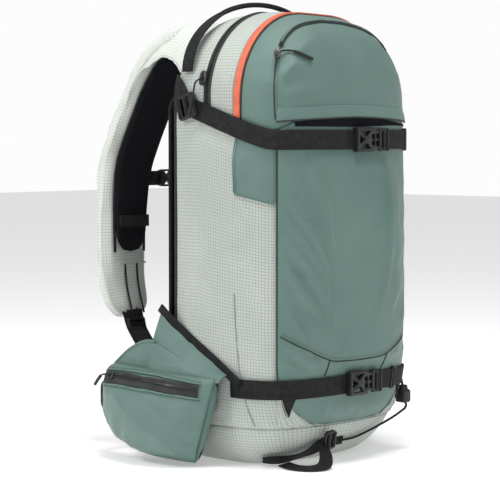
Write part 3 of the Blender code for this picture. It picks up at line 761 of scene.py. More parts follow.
def insert_foot(y):
    """Height of the green insert's lower edge on the bag's side."""
    share = (y - FRONT_SEAM_Y) / (INSERT_Y - FRONT_SEAM_Y)
    return INSERT_FRONT_Z + (INSERT_BACK_Z - INSERT_FRONT_Z) * share


def green_insert(p):
    return p.y < INSERT_Y and p.z > insert_foot(p.y)


def side_panel(side, word):
    ys = steps(FRONT_SEAM_Y, INSERT_Y, 11) + steps(INSERT_Y, BACK_SEAM_Y, 22)[1:]
    rows = [
        [side_point(y, BASE_SEAM_Z + (side_top(y) - BASE_SEAM_Z) * t, side) for y in ys]
        for t in steps(0, 1, 72)
    ]
    if side < 0:
        spots = ((172, 1, 0.10, 0.42), (206, -1, 0.10, 0.42), (190, 1, 0.24, 0.42))
    else:
        spots = ((8, -1, 0.10, 0.42), (-26, 1, 0.10, 0.42), (-10, -1, 0.24, 0.42))
    folds = fold_set(21 + side, 12, spots, (-16, 4), (6, 18), (0.0012, 0.0026), (0.005, 0.010))
    bag_panel(f"side_fabric_{word}", rows, "ripstop", "pack", f"side_panel_{word}", 2.5, 0.022, 0.0055,
              ("green", green_insert), folds, 0.0020)


def top_heights(low, count):
    """Heights from a seam to the crown, close together where the crown flattens."""
    climb = steps(low, SHOULDER_Z, 4)[:-1] if low < SHOULDER_Z else []
    rise = HEIGHT - SHOULDER_Z
    return climb + [SHOULDER_Z + rise * math.sin(math.radians(a)) for a in steps(0, 90, count)]


def cap_rows(y_line, facing, low, wide, count):
    """A cap over the front (-1) or back (1) of the top, from its lower seam to a line across at y_line."""
    rows = []
    levels = top_heights(0.44, count)
    for k, z_middle in enumerate(levels):
        row = []
        a0, a1 = angle_at_y(y_line, z_middle, -1), angle_at_y(y_line, z_middle, 1)
        if facing < 0:
            a1 += math.tau
        for angle in steps(a0, a1, wide):
            z = top_heights(low(bag_point(angle, z_middle).y), count)
            share = k / (len(levels) - 1) * (len(z) - 1)
            i = min(int(share), len(z) - 2)
            row.append(bag_point(angle, z[i] + (z[i + 1] - z[i]) * (share - i)))
        rows.append(row)
    crest = rows[-1]
    for t in steps(0, 1, 6)[1:]:
        rows.append([Vector((p.x, p.y + (y_line - p.y) * t, HEIGHT)) for p in crest])
    return rows


def lid_pocket():
    sides = ((200, 1, 0.46, 0.53), (212, 1, 0.455, 0.50), (330, -1, 0.46, 0.52), (212, 1, 0.48, 0.54))
    folds = fold_set(31, 10, sides, (-12, 4), (18, 48), (0.0020, 0.0036), (0.006, 0.012))
    rows = cap_rows(PIPING_Y, -1, lip_line, 54, 24)
    bag_panel("lid_pocket_fabric", rows, "green", "lid", "lid_pocket_panel", 3.0, 0.024, 0.0055, folds=folds,
              drift=0.0022)


def yoke():
    rows = cap_rows(ZIP_Y, 1, lambda _: YOKE_SEAM_Z, 48, 18)
    bag_panel("yoke_fabric", rows, "ripstop", "pack", "yoke_panel", 2.0, 0.014, 0.004)


def arch_points(y, count=17):
    """Across the top at one Y, from the lower edge on the left to that on the right."""
    heights = top_heights(side_top(y), count)
    left = [bag_point(angle_at_y(y, min(z, HEIGHT - 1e-5), -1), z) for z in heights]
    reach = abs(left[-1].x)
    flat = [Vector((x, y, HEIGHT)) for x in steps(-reach, reach, 6)[1:-1]]
    return left + flat + [Vector((-p.x, p.y, p.z)) for p in reversed(left)]


def lid_crown():
    rows = [arch_points(y) for y in steps(PIPING_Y, ZIP_Y, 10)]
    bag_panel("lid_crown_fabric", rows, "ripstop", "lid", "lid_crown_panel", 2.0, 0.014, 0.004)


def bottom():
    count = 64
    angles = [math.tau * i / count for i in range(count)]
    curve = [BASE_RISE * (1 - math.cos(math.radians(a))) for a in (72, 60, 48, 36, 24, 12, 0)]
    rows = [[bag_point(a, z) for a in angles] for z in [BASE_SEAM_Z] + curve]
    rows[0] = [p - bag_normal(p) * SEAM_SINK for p in rows[0]]
    foot = rows[-1]
    for share in (0.85, 0.6, 0.3, 0.05):
        rows.append([Vector((p.x * share, p.y * share, 0.0)) for p in foot])
    obj = grid_object("bottom_fabric", rows, "ripstop", loop=True)
    bm = bmesh.new()
    bm.from_mesh(obj.data)
    bm.verts.ensure_lookup_table()
    bm.faces.new([bm.verts[j] for j in range(len(bm.verts) - count, len(bm.verts))])
    bmesh.ops.recalc_face_normals(bm, faces=bm.faces)
    bm.to_mesh(obj.data)
    bm.free()
    obj.data.shade_smooth()
    line_inside(obj)
    settle(obj, "pack", "ripstop", "bottom_panel")
    SKINS.append(obj)


def back_wall():
    rows = []
    for z in steps(BASE_SEAM_Z, YOKE_SEAM_Z, 20):
        a0, a1 = (angle_at_y(BACK_SEAM_Y, z, side) for side in (1, -1))
        rows.append([bag_point(a, z) for a in steps(a0, a1, 24)])
    bag_panel("back_wall_fabric", rows, "liner", "pack", "back_wall", 0.4, 0.0, 0.0006)


def all_panels():
    front_panel()
    for side, word in SIDES:
        side_panel(side, word)
    lid_pocket()
    lid_crown()
    yoke()
    bottom()
    back_wall()


# ---------------------------------------------------------------- laying trims on the fabric

TREES = []


def surface_tree(obj):
    faces = [tuple(p.vertices) for p in obj.data.polygons]
    return BVHTree.FromPolygons([v.co.copy() for v in obj.data.vertices], faces)


def grow_trees():
    TREES.extend(surface_tree(skin) for skin in SKINS)


def on_fabric(p):
    """The outermost point of the fabric on the bag's normal through p."""
    out = bag_normal(p)
    start = world(p + out * 0.03)
    hits = [tree.ray_cast(start, -out, 0.06) for tree in TREES]
    hits = [(hit[3], hit[0]) for hit in hits if hit[0] is not None]
    if not hits:
        return p, out
    return in_bag(min(hits, key=lambda h: h[0])[1]), out


def above_fabric(p, lift):
    """The place over the fabric at p, raised by lift."""
    return on_fabric(p)[0] + bag_normal(p) * lift


def lay(points, lift, smoothing):
    """Points raised from the fabric by lift, evened out along their line, with their outward directions."""
    found = [on_fabric(p) for p in points]
    outs = [out for _, out in found]
    heights = [(spot - p).dot(out) for p, (spot, out) in zip(points, found)]
    for _ in range(smoothing):
        before, after = heights[:1] + heights[:-1], heights[1:] + heights[-1:]
        heights = [(a + 2 * h + b) / 4 for a, h, b in zip(before, heights, after)]
    return [p + out * (h + lift) for p, h, out in zip(points, heights, outs)], outs


def catmull_rom(a, b, c, d, t):
    """From b to c as t goes from 0 to 1, with a before them and d after."""
    square, cube = 2 * a - 5 * b + 4 * c - d, 3 * b - a - 3 * c + d
    return 0.5 * (2 * b + (c - a) * t + square * t * t + cube * t ** 3)


def smooth_path(points, count):
    """Points along a smooth curve through the given ones."""
    points = [Vector(p) for p in points]
    points = [2 * points[0] - points[1]] + points + [2 * points[-1] - points[-2]]
    spans = len(points) - 3
    path = []
    for i in range(count + 1):
        s = min(i / count * spans, spans - 1e-9)
        path.append(catmull_rom(*points[int(s):int(s) + 4], s - int(s)))
    return path


def round_bag(places, count):
    """Points on the bag through (degrees round it, height) places."""
    path = smooth_path([(a, z, 0) for a, z in places], count)
    return [bag_point(math.radians(p.x), min(p.y, HEIGHT - 1e-4)) for p in path]


STRIP = (
    (-1, 0), (-0.985, 0.7), (-0.93, 1), (-0.5, 1), (0, 1), (0.5, 1), (0.93, 1), (0.985, 0.7), (1, 0),
    (0.985, -0.7), (0.93, -1), (0, -1), (-0.93, -1), (-0.985, -0.7),
)


def band(name, centres, outs, width, thick, material):
    """A flat woven strip along points. The width can be a function of the share of its length."""
    rows = []
    for i, here in enumerate(centres):
        along = heading(centres, i).normalized()
        out = (outs[i] - along * outs[i].dot(along)).normalized()
        side = along.cross(out)
        wide = width(i / (len(centres) - 1)) if callable(width) else width
        rows.append([here + side * s * wide / 2 + out * t * thick / 2 for s, t in STRIP])
    return grid_object(name, rows, material, loop=True, caps=True)


def tube(name, points, radius, material, sides=10):
    """A round cord along points. The radius can be a function of the share of its length."""
    rows = []
    across = None
    for i, here in enumerate(points):
        along = heading(points, i).normalized()
        if across is None:
            across = along.orthogonal().normalized()
        across = (across - along * across.dot(along)).normalized()
        up = along.cross(across)
        thin = radius(i / (len(points) - 1)) if callable(radius) else radius
        ring = [math.tau * k / sides for k in range(sides)]
        rows.append([here + (across * math.cos(a) + up * math.sin(a)) * thin for a in ring])
    return grid_object(name, rows, material, loop=True, caps=True)


def join_rings(bm, rings):
    """Walls between rings of points, each ring closed on itself."""
    for low, high in zip(rings, rings[1:]):
        for k in range(len(low)):
            m = (k + 1) % len(low)
            bm.faces.new((low[k], low[m], high[m], high[k]))


def resampled(points, outs, pitch):
    """Places every pitch along a line, with their outward and forward directions."""
    places, gone, due = [], 0.0, pitch / 2
    for i in range(len(points) - 1):
        step = points[i + 1] - points[i]
        while gone + step.length > due:
            t = (due - gone) / step.length
            out = outs[i].lerp(outs[i + 1], t).normalized()
            places.append((points[i] + step * t, out, step.normalized()))
            due += pitch
        gone += step.length
    return places


def stitches(name, lines, material):
    """Rows of thread stitches along (points, outs) lines, as one object."""
    bm = bmesh.new()
    for points, outs in lines:
        for middle, out, along in resampled(points, outs, STITCH_PITCH):
            side = along.cross(out).normalized()
            rings = []
            for share, fat in ((-0.5, 0.35), (-0.3, 1.0), (0.3, 1.0), (0.5, 0.35)):
                here = middle + along * share * STITCH_LENGTH + out * STITCH_RADIUS * (fat - 0.8)
                rings.append([
                    bm.verts.new(here + (side * math.cos(a) + out * math.sin(a)) * STITCH_RADIUS * fat)
                    for a in (0.0, 1.2, 2.4, 3.7, 5.0)
                ])
            join_rings(bm, rings)
    return flat_mesh(name, bm, material)


def plate(name, outlines, thick, matrix, material, bevel):
    """A moulded plate with soft edges, in its matrix's XY plane. The outlines after the first are holes."""
    curve = bpy.data.curves.new(name, "CURVE")
    curve.dimensions, curve.fill_mode = "2D", "BOTH"
    curve.extrude = max(thick / 2 - bevel, 1e-5)
    curve.bevel_depth, curve.bevel_resolution, curve.offset = bevel, 2, -bevel
    for outline in outlines:
        spline = curve.splines.new("POLY")
        spline.points.add(len(outline) - 1)
        for point, (x, y) in zip(spline.points, outline):
            point.co = (x, y, 0, 1)
        spline.use_cyclic_u = True
    scratch = add_object(name + "_outline", curve)
    mesh = bpy.data.meshes.new_from_object(scratch.evaluated_get(bpy.context.evaluated_depsgraph_get()))
    bpy.data.objects.remove(scratch)
    bm = bmesh.new()
    bm.from_mesh(mesh)
    bmesh.ops.remove_doubles(bm, verts=bm.verts, dist=1e-6)
    for vertex in bm.verts:
        vertex.co = in_bag(matrix @ vertex.co)
    return flat_mesh(name, bm, material)


def rounded(wide, high, radius, middle=(0.0, 0.0), turn=0.0, count=5):
    """Outline of a rounded rectangle."""
    points = []
    c, s = math.cos(turn), math.sin(turn)
    for quarter, (sx, sy) in enumerate(((1, 1), (-1, 1), (-1, -1), (1, -1))):
        for k in range(count + 1):
            angle = math.pi / 2 * (quarter + k / count)
            x = sx * (wide / 2 - radius) + radius * math.cos(angle)
            y = sy * (high / 2 - radius) + radius * math.sin(angle)
            points.append((middle[0] + x * c - y * s, middle[1] + x * s + y * c))
    return points


def joined(name, *parts):
    """Several meshes as one object. The first part's materials come first."""
    bm = bmesh.new()
    materials = []
    for part in parts:
        start = len(bm.faces)
        materials += [slot for slot in part.data.materials if slot not in materials]
        bm.from_mesh(part.data)
        bm.faces.ensure_lookup_table()
        for face in bm.faces[start:]:
            face.material_index = materials.index(part.data.materials[face.material_index])
    for part in parts:
        bpy.data.objects.remove(part)
    mesh = mesh_from(name, bm)
    for slot in materials:
        mesh.materials.append(slot)
    return add_object(name, mesh)


def frame_at(centre, along, out):
    """A matrix with X along, Z outward and Y across, at a point in the frame."""
    out = Vector(out).normalized()
    along = (Vector(along) - out * out.dot(Vector(along))).normalized()
    matrix = Matrix((along, out.cross(along), out)).transposed().to_4x4()
    matrix.translation = centre
    return matrix


def node_middle(node):
    low, high = map(Vector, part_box(node))
    return (low + high) / 2


def node_size(node):
    low, high = map(Vector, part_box(node))
    return high - low


def on_node(node, along, out):
    """A node's size, and the matrix of plates laid through its middle."""
    return node_size(node), frame_at(node_middle(node), along, out)


def moulded(name, body, matrix, parts, *nodes, material="plastic", extra=()):
    """A piece of plates on one matrix: each is (outlines, thickness, bevel), and its rise along Z if any."""
    plates = [
        plate(f"{name}_{k}", outlines, thick, matrix @ Matrix.Translation((0, 0, sum(rise))), material, bevel)
        for k, (outlines, thick, bevel, *rise) in enumerate(parts)
    ]
    settle(joined(name, *plates, *extra), body, material, *nodes)


def mirrored(outline):
    """An outline and its mirror image across the X axis."""
    return [outline, [(x, -y) for x, y in reversed(outline)]]


# ---------------------------------------------------------------- compression straps and buckles

def front_angle(x):
    return 270 + math.degrees(math.atan2(x, FRONT))


def strap_line(start, end, height, count):
    """Points round the front between two angles in degrees, at heights given by a function of Y."""
    angles = [math.radians(a) for a in steps(start, end, count)]
    return [bag_point(a, height(bag_point(a, 0.3).y)) for a in angles]


def side_release_buckle(word, plug_body):
    """The socket, with windows that leave a cross, and the plug with its slots, prongs and tongue."""
    node = f"{word}_buckle_socket"
    (wide, deep, high), matrix = on_node(node, (1, 0, 0), (0, -1, 0))
    windows = mirrored([(-0.30 * wide, 0.36 * high), (0.22 * wide, 0.36 * high), (-0.02 * wide, 0.09 * high)])
    windows.append([(-0.34 * wide, 0.22 * high), (-0.10 * wide, 0.0), (-0.34 * wide, -0.22 * high)])
    windows.append(rounded(0.15 * wide, 0.50 * high, 0.0015, (0.36 * wide, 0)))
    ribs = [rounded(0.55 * wide, 0.0028, 0.0012, (-0.02 * wide, 0), turn) for turn in (0.85, -0.85)]
    moulded(node + "_shell", "pack", matrix, [
        ([rounded(wide, high, 0.006)] + windows, deep * 0.62, 0.0012),
        ([rounded(0.30 * wide, 0.30 * high, 0.0035, (0.01 * wide, 0))], deep * 0.86, 0.0012),
        ([rounded(0.0040, high * 0.98, 0.0018, (-0.45 * wide, 0))], deep * 0.9, 0.0012),
        *(([rib], deep * 0.80, 0.0008) for rib in ribs),
    ], node)
    node = f"{word}_buckle_plug"
    (wide, deep, high), matrix = on_node(node, (1, 0, 0), (0, -1, 0))
    slots = [rounded(0.10 * wide, high * 0.66, 0.0011, (x * wide, 0)) for x in (0.00, 0.22)]
    prongs = [
        rounded(0.62 * wide, 0.0042, 0.0018, (-0.50 * wide, s * high * 0.30), s * 0.10) for s in (-1, 1)
    ]
    moulded(node + "_shell", plug_body, matrix, [
        ([rounded(0.66 * wide, high * 0.94, 0.0050, (0.10 * wide, 0))] + slots, deep * 0.60, 0.0011),
        ([rounded(0.0032, high * 0.92, 0.0014, (0.40 * wide, 0))], deep * 0.92, 0.0010),
        ([rounded(0.0028, high * 0.86, 0.0012, (0.11 * wide, 0))], deep * 0.85, 0.0010),
        ([rounded(0.55 * wide, 0.0040, 0.0015, (-0.48 * wide, 0))], deep * 0.30, 0.0008),
        *(([prong], deep * 0.40, 0.0009) for prong in prongs),
    ], node)


def ladder_lock(side, word):
    """The upper compression strap's lock, on a sewn fabric tab at the back corner."""
    node = f"compression_ladder_lock_{word}"
    size, middle = node_size(node), node_middle(node)
    matrix = frame_at(middle + Vector((side * 0.0012, 0, 0)), (0, -side, -0.30), (side, 0, 0))
    high, wide = size.z * 0.94, size.y
    slots = [rounded(0.0052, high * 0.72, 0.0012, (x * wide, 0)) for x in (-0.17, 0.20)]
    bars = [([rounded(0.0034, high * 0.86, 0.0014, (x * wide, 0))], size.x * 0.98, 0.0011)
            for x in (-0.40, 0.02, 0.43)]
    moulded(node + "_shell", "pack", matrix,
            [([rounded(wide, high, 0.0035)] + slots, size.x * 0.62, 0.0010)] + bars, node)
    tab = []
    for t in steps(0, 1, 9):
        low, high = 0.448 + 0.012 * t, 0.482 + 0.034 * t - 0.012 * t * t
        row = [side_point(0.058 + 0.026 * t, z, side) for z in steps(low, high, 7)]
        tab.append([p + bag_normal(p) * 0.0028 for p in row])
    piece = grid_object(f"compression_tab_{word}", tab, "webbing")
    thicken(piece, 0.0020, 0, smooth=False)
    settle(piece, "pack", "webbing")


def compression_straps():
    for word, start, height in (("upper", 161, strap_height), ("lower", 187, lambda _: LOWER_Z)):
        socket_edge = float(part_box(f"{word}_buckle_socket")[0][0]) + 0.004
        plug_edge = float(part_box(f"{word}_buckle_plug")[1][0]) - 0.005
        line = lay(strap_line(start, front_angle(socket_edge), height, 52), STRAP_LIFT, 5)
        left = band(f"{word}_strap_left", *line, WEBBING, WEBBING_THICK, "webbing")
        settle(left, "pack", "webbing", f"{word}_webbing_left")
        centres, outs = lay(strap_line(front_angle(plug_edge), 540 - start, height, 44), STRAP_LIFT, 5)
        right = band(f"{word}_strap_right", centres, outs, WEBBING, WEBBING_THICK, "webbing")
        span(right, "webbing", ("pack", f"{word}_plug"), (world(centres[24]), world(centres[0])),
             f"{word}_webbing_right")
        side_release_buckle(word, f"{word}_plug")
        spot, out = centres[KEEPER_POINT], outs[KEEPER_POINT]
        ring = [rounded(0.008, WEBBING + 0.005, 0.002), rounded(0.004, WEBBING + 0.0006, 0.0008)]
        matrix = frame_at(world(spot), Vector((0, 0, 1)).cross(out), out)
        moulded(f"{word}_keeper", "pack", matrix, [(ring, 0.004, 0.0006)])
    for side, word in SIDES:
        ladder_lock(side, word)


# ---------------------------------------------------------------- seams, piping and zips

def seam_line(name, body, line, material="green", width=0.0036, rows=(1,)):
    """A sewn seam: a low folded edge with a row of stitches on each side that rows names."""
    centres, outs = lay(line, 0.0003, 2)
    edge = tube(name + "_edge", centres, 0.00085, material, 8)
    lines = []
    for sign in rows:
        points = [here + heading(centres, i).cross(out).normalized() * sign * width
                  for i, (here, out) in enumerate(zip(centres, outs))]
        lines.append(lay(points, 0.0006, 2))
    settle(joined(name, edge, stitches(name + "_thread", lines, "tape")), body, material)


def arch(y):
    """A smooth line over the top of the bag at one Y."""
    return smooth_path(arch_points(y, 26), 90)


HEM_CORNER = 211.4  # degrees round the bag, just behind the front corner seam
HEM = ((213.5, 0.099), (217, 0.086), (221, 0.072), (230, 0.057), (246, 0.0535))


def hem_corner(side, word):
    """Pale fabric that wraps from the side to the front, below the green panel's curved hem."""
    rows = []
    for z in steps(0.0990, BASE_SEAM_Z + 0.0010, 22):
        edge = between([(-h, a) for a, h in HEM], -z)
        row = [bag_point(math.radians(degrees), z) for degrees in steps(HEM_CORNER, edge, 12)]
        row = [on_fabric(Vector((-side * p.x, p.y, p.z)))[0] for p in row]
        rows.append([p + bag_normal(p) * 0.0006 for p in row])
    piece = grid_object(f"hem_corner_{word}", rows, "ripstop")
    thicken(piece, 0.0008, 0, smooth=False)
    settle(piece, "pack", "ripstop")


def black_gore(side, word):
    """The small webbing triangle sewn over the corner seam, below the lower strap."""
    rows = []
    for t in steps(0, 1, 10):
        z = 0.094 - 0.026 * t
        row = [side_point(FRONT_SEAM_Y - 0.001 - 0.009 * s * (1 - t), z, side) for s in steps(0, 1, 8)]
        rows.append([above_fabric(p, 0.0019) for p in row])
    piece = grid_object(f"black_gore_{word}", rows, "webbing")
    thicken(piece, 0.0008, 0, smooth=False)
    settle(piece, "pack", "webbing")


def panel_seams():
    def at_side(side, y, low, high, count):
        return [side_point(y, z, side) for z in steps(low, high, count)]

    low = smooth_path([(y, z, 0) for y, z in SIDE_SEAM], 40)
    for side, word in SIDES:
        corner = at_side(side, FRONT_SEAM_Y, BASE_SEAM_Z, LID_LINE[1][1] - 0.002, 70)
        seam_line(f"corner_seam_{word}", "pack", corner, "tape", rows=(side,))
        edge = [p for p in at_side(side, INSERT_Y + 0.001, 0.20, 0.445, 40) if p.z > INSERT_BACK_Z]
        seam_line(f"insert_seam_{word}", "pack", edge, rows=(-side,))
        foot = [side_point(y, insert_foot(y), side) for y in steps(FRONT_SEAM_Y + 0.001, INSERT_Y, 16)]
        seam_line(f"insert_foot_{word}", "pack", foot, rows=(side,))
        line = [side_point(p.x, p.y, side) for p in low]
        seam_line(f"side_seam_{word}", "pack", line, "ripstop", 0.002, (side,))
        edge, _ = lay(at_side(side, BACK_SEAM_Y, BASE_SEAM_Z, YOKE_SEAM_Z, 60), 0.0012, 3)
        settle(tube(f"back_edge_piping_{word}", edge, 0.0024, "liner"), "pack", "liner")
        line = [side_point(y, YOKE_SEAM_Z, side) for y in steps(ZIP_Y + 0.001, BACK_SEAM_Y - 0.004, 24)]
        seam_line(f"yoke_seam_{word}", "pack", line, "ripstop", rows=(-side,))
    hem = round_bag(HEM + tuple((540 - a, z) for a, z in reversed(HEM)), 100)
    seam_line("green_hem", "pack", hem)
    for side, word in SIDES:
        hem_corner(side, word)
    seam_line("front_cross_seam", "pack", round_bag(CROSS_SEAM, 90), "tape", 0.004, (-1,))
    for angle, word in ((240.5, "left"), (299.5, "right")):
        drop = round_bag([(angle, 0.138), (angle - 0.6, 0.126), (angle - 1.4, 0.118)], 12)
        seam_line(f"front_drop_seam_{word}", "pack", drop, "tape", rows=())
    for side, word in SIDES:
        black_gore(side, word)


def zip_run(name, line, tape_width, coil, tape="tape"):
    """A zip of the lid: its tape, and a coil of teeth along the middle."""
    centres, outs = lay(line, 0.0009, 4)
    tape_band = band(name + "_tape", centres, outs, tape_width, 0.0012, tape)
    teeth = bmesh.new()
    for middle, out, along in resampled(centres, outs, 0.0021):
        across = along.cross(out).normalized()
        middle = middle + out * 0.0008
        for sign in (-1, 1):
            rings = []
            for share, fat in ((-0.1, 0.8), (0.5, 1.0), (1.0, 0.6)):
                here = middle + across * sign * coil * 0.5 * share + along * sign * 0.0005
                rings.append([
                    teeth.verts.new(here + along * a * 0.0006 * fat + out * b * 0.0007 * fat)
                    for a, b in ((-1, 0), (0, 1), (1, 0), (0, -1))
                ])
            join_rings(teeth, rings)
            teeth.faces.new(rings[-1])
    settle(joined(name, tape_band, flat_mesh(name + "_coil", teeth, "plastic")), "lid", "tape")


def pull_cord(points, name):
    """A looped pull: a thin cord with a heat-shrunk grip over its outer half."""
    path = smooth_path(points, 26)
    return (
        tube(name + "_strand", path, 0.0011, "webbing", 8),
        tube(name + "_grip", path[12:], lambda t: 0.0021 if t < 0.94 else 0.0016, "plastic", 10),
    )


def zip_slider(node, body, along, out, cord_points, scale):
    """A slider with its crown, bridge and pull."""
    wide, high = 0.0150 * scale, 0.0095 * scale
    outline = [(x * wide, y * high) for x, y in SLIDER_OUTLINE]
    parts = [
        ([outline], 0.0018 * scale, 0.0005, -0.0014),
        ([outline], 0.0016 * scale, 0.0005, 0.0012),
        ([rounded(0.0090 * scale, 0.0022, 0.0009)], 0.0036 * scale, 0.0007, 0.0030),
    ]
    moulded(node + "_shell", body, frame_at(node_middle(node), along, out), parts, node, material="metal",
            extra=pull_cord(cord_points, node))


def trim(kind, name, line, lift, smoothing, *sizes, body="lid"):
    """A tube or band laid on the fabric along a line, as a piece of the lid or of the pack."""
    centres, outs = lay(line, lift, smoothing)
    *sizes, material = sizes
    made = kind(name, centres, *([outs] if kind is band else []), *sizes, material)
    settle(made, body, material)


def zips_and_piping():
    zip_run("main_zip", arch(ZIP_Y - 0.0062)[3:-3], 0.0115, 0.0050)
    trim(tube, "zip_guard_piping", arch(ZIP_Y + 0.0018)[3:-3], 0.0008, 4, 0.0013, "ripstop", body="pack")
    trim(band, "orange_edge", arch(PIPING_Y - 0.0075)[1:-1], 0.0013, 4, 0.0098, 0.0026, "orange")
    trim(tube, "orange_edge_cord", arch(PIPING_Y - 0.0135)[1:-1], 0.0004, 3, 0.0009, "tape")
    line = lay(arch(PIPING_Y - 0.0012)[1:-1], 0.0004, 3)
    settle(stitches("orange_edge_stitches", [line], "ripstop"), "lid", "ripstop")

    arc = round_bag(POCKET_ARC + tuple((540 - a, z) for a, z in reversed(POCKET_ARC[:-1])), 170)

    def part(low, high):
        return arc[int(len(arc) * low):int(len(arc) * high)]

    seam_line("pocket_seam_left", "lid", part(0, 0.24), "tape")
    seam_line("pocket_seam_right", "lid", part(0.76, 1), "tape")
    zip_run("pocket_zip", part(0.235, 0.765), 0.0060, 0.0026, "liner")
    line = [p + Vector((0, 0, 0.0022)) for p in part(0.25, 0.75)]
    trim(tube, "pocket_zip_guard", line, 0.0016, 4, 0.0013, "green")

    spot = in_bag(node_middle("main_zip_slider"))
    down = [spot + Vector(step) for step in MAIN_PULL]
    zip_slider("main_zip_slider", "main_slider", (0.22, 0, 0.9755), (-0.9755, 0, 0.22), down, 1.25)
    spot = in_bag(node_middle("pocket_zip_slider"))
    out = bag_normal(spot)
    swing = [spot + out * 0.003]
    for run, rise in POCKET_PULL:
        reach = spot + Vector((0.80, -0.60, 0)) * run + Vector((0, 0, rise))
        placed = on_fabric(bag_point(math.atan2(reach.y, reach.x), reach.z))[0]
        swing.append(placed + bag_normal(placed) * 0.0026)
    zip_slider("pocket_zip_slider", "pocket_slider", (0.1, 0.1, 0.98), out, swing, 0.9)


def pocket_lip():
    """The pocket's lower lip, standing off the bag, and a black band under it, painted as the shade in the
    opening.
    """
    def lip_height(angle):
        return LIP_Z - 0.002 + 0.0065 * math.sin(math.pi * (angle - 211) / 118) ** 0.8

    line = round_bag([(a, lip_height(a)) for a in steps(211.5, 328.5, 12)], 80)
    rows = []
    for drop, lift in LIP_PROFILE:
        row = []
        for i, p in enumerate(line):
            swell = math.sin(math.pi * i / (len(line) - 1)) ** 0.6
            over = Vector((p.x, p.y, p.z + 0.004))
            at = on_fabric(Vector((p.x, p.y, p.z + drop)) if drop > 0.003 else over)[0]
            row.append(Vector((at.x, at.y, p.z + drop)) + bag_normal(over) * (lift * (0.35 + 0.65 * swell)))
        rows.append(row)
    lip = grid_object("pocket_lip", rows, "green")
    add_modifier(lip, "SOLIDIFY", thickness=0.0012, offset=0)
    add_modifier(lip, "SUBSURF", levels=1, render_levels=1)
    settle(lip, "lid", "green")
    edge = [p + Vector((0, 0, -0.0002)) for p in rows[4]]
    settle(tube("pocket_lip_binding", edge, 0.0011, "tape", 8), "lid", "tape")
    # Painted shade: a black knit band below the lip, widest in the middle, stands for the shadow where the
    # pocket opens, though it is settled as liner.
    centres, outs = lay([Vector((p.x, p.y, p.z - 0.0075)) for p in line], 0.0006, 3)
    gap = band(
        "pocket_opening_painted_shade", centres[6:-2], outs[6:-2],
        lambda t: 0.0025 + 0.0120 * math.sin(math.pi * min(1.0, 0.10 + 0.95 * t)) ** 1.2, 0.0012, "knit",
    )
    settle(gap, "pack", "liner")


# ---------------------------------------------------------------- shoulder straps and yoke

def strap_frames(side, count=44):
    """Middle points of a shoulder strap, each with its outward direction."""
    points = []
    for i, (y, z) in enumerate(STRAP_LINE):
        share = i / (len(STRAP_LINE) - 1)
        x = STRAP_TOP_X + (STRAP_FOOT_X - STRAP_TOP_X) * (3 * share ** 2 - 2 * share ** 3)
        points.append((side * x, y, z))
    path = smooth_path(points, count)
    ways = [heading(path, i).normalized() for i in range(count + 1)]
    return [(here, Vector((0, -along.z, along.y)).normalized()) for here, along in zip(path, ways)]


def pad_with_ends(obj, body, material, node, fill, pinned, rings, around, **cloth):
    """Swells a closed form that is pinned along two lines and at both ends. The fill argument is not used."""
    edge = {i * around + k for i in range(rings) for k in pinned}
    edge |= set(range(around)) | set(range((rings - 1) * around, rings * around))
    cloth_run(obj, sorted(edge), **cloth)
    add_modifier(obj, "SUBSURF", levels=1, render_levels=1)
    settle(obj, body, material, node)


def puffed(name, frames, low, high, width, material, node, fill, around=40, **cloth):
    """A closed padded form along the strap, swollen by its filling between the sewn edges."""
    rows = []
    middle, half = (low + high) / 2, (high - low) / 2
    for i, (here, out) in enumerate(frames):
        share = i / (len(frames) - 1)
        end = min(share, 1 - share) / 0.05
        shrink = min(1.0, 0.55 + 0.45 * math.sqrt(min(end, 1.0)))
        row = []
        for k in range(around):
            angle = math.tau * (k + 0.5) / around
            across = squared(math.cos(angle), 0.62) * width(share) / 2 * shrink
            lift = middle + squared(math.sin(angle), 0.75) * half * shrink
            row.append(here + Vector((across, 0, 0)) + out * lift)
        rows.append(row)
    obj = grid_object(name, rows, material, loop=True, caps=True)
    obj.data.validate()
    sewn = (0, around - 1, around // 2 - 1, around // 2)
    pad_with_ends(obj, "harness", material, node, fill, sewn, len(rows), around, **cloth)
    return obj


def long_folds(obj, frames, depth, side):
    """Soft folds that run down a strap where its cover is fuller than its padding."""
    centres = [world(here) for here, _ in frames]
    for vertex in obj.data.vertices:
        nearest = min(range(len(centres)), key=lambda i: (centres[i] - vertex.co).length_squared)
        here, out = frames[nearest]
        across = (vertex.co.x - here.x) / 0.04
        face = 0.35 if (vertex.co - world(here)).dot(out) < 0.002 else 1.0
        share = nearest / len(centres)
        wave = 1.0 - 1.6 * abs(math.sin(across * 3.4 + 1.3 * math.sin(share * 5.1 + side)))
        wave += 0.7 - abs(math.sin(across * 6.1 + 1.9 * math.sin(share * 7.7 + 1.3 * side) + 1.0))
        wave += 0.8 - 1.2 * abs(math.sin(share * 15.0 + 2.6 * across + 0.8 * math.sin(across * 5.0 + side)))
        vertex.co += Vector(vertex.normal) * depth * face * wave * (1 - abs(across) ** 4 * 0.5)


def sleeve_width(share):
    return 0.083 + 0.006 * math.sin(math.pi * min(1.0, share * 1.4)) - 0.010 * max(0.0, share - 0.86) / 0.14


def pad_width(share):
    return 0.066 - 0.012 * max(0.0, share - 0.6) / 0.4 - 0.020 * max(0.0, 1 - share / 0.14) ** 2


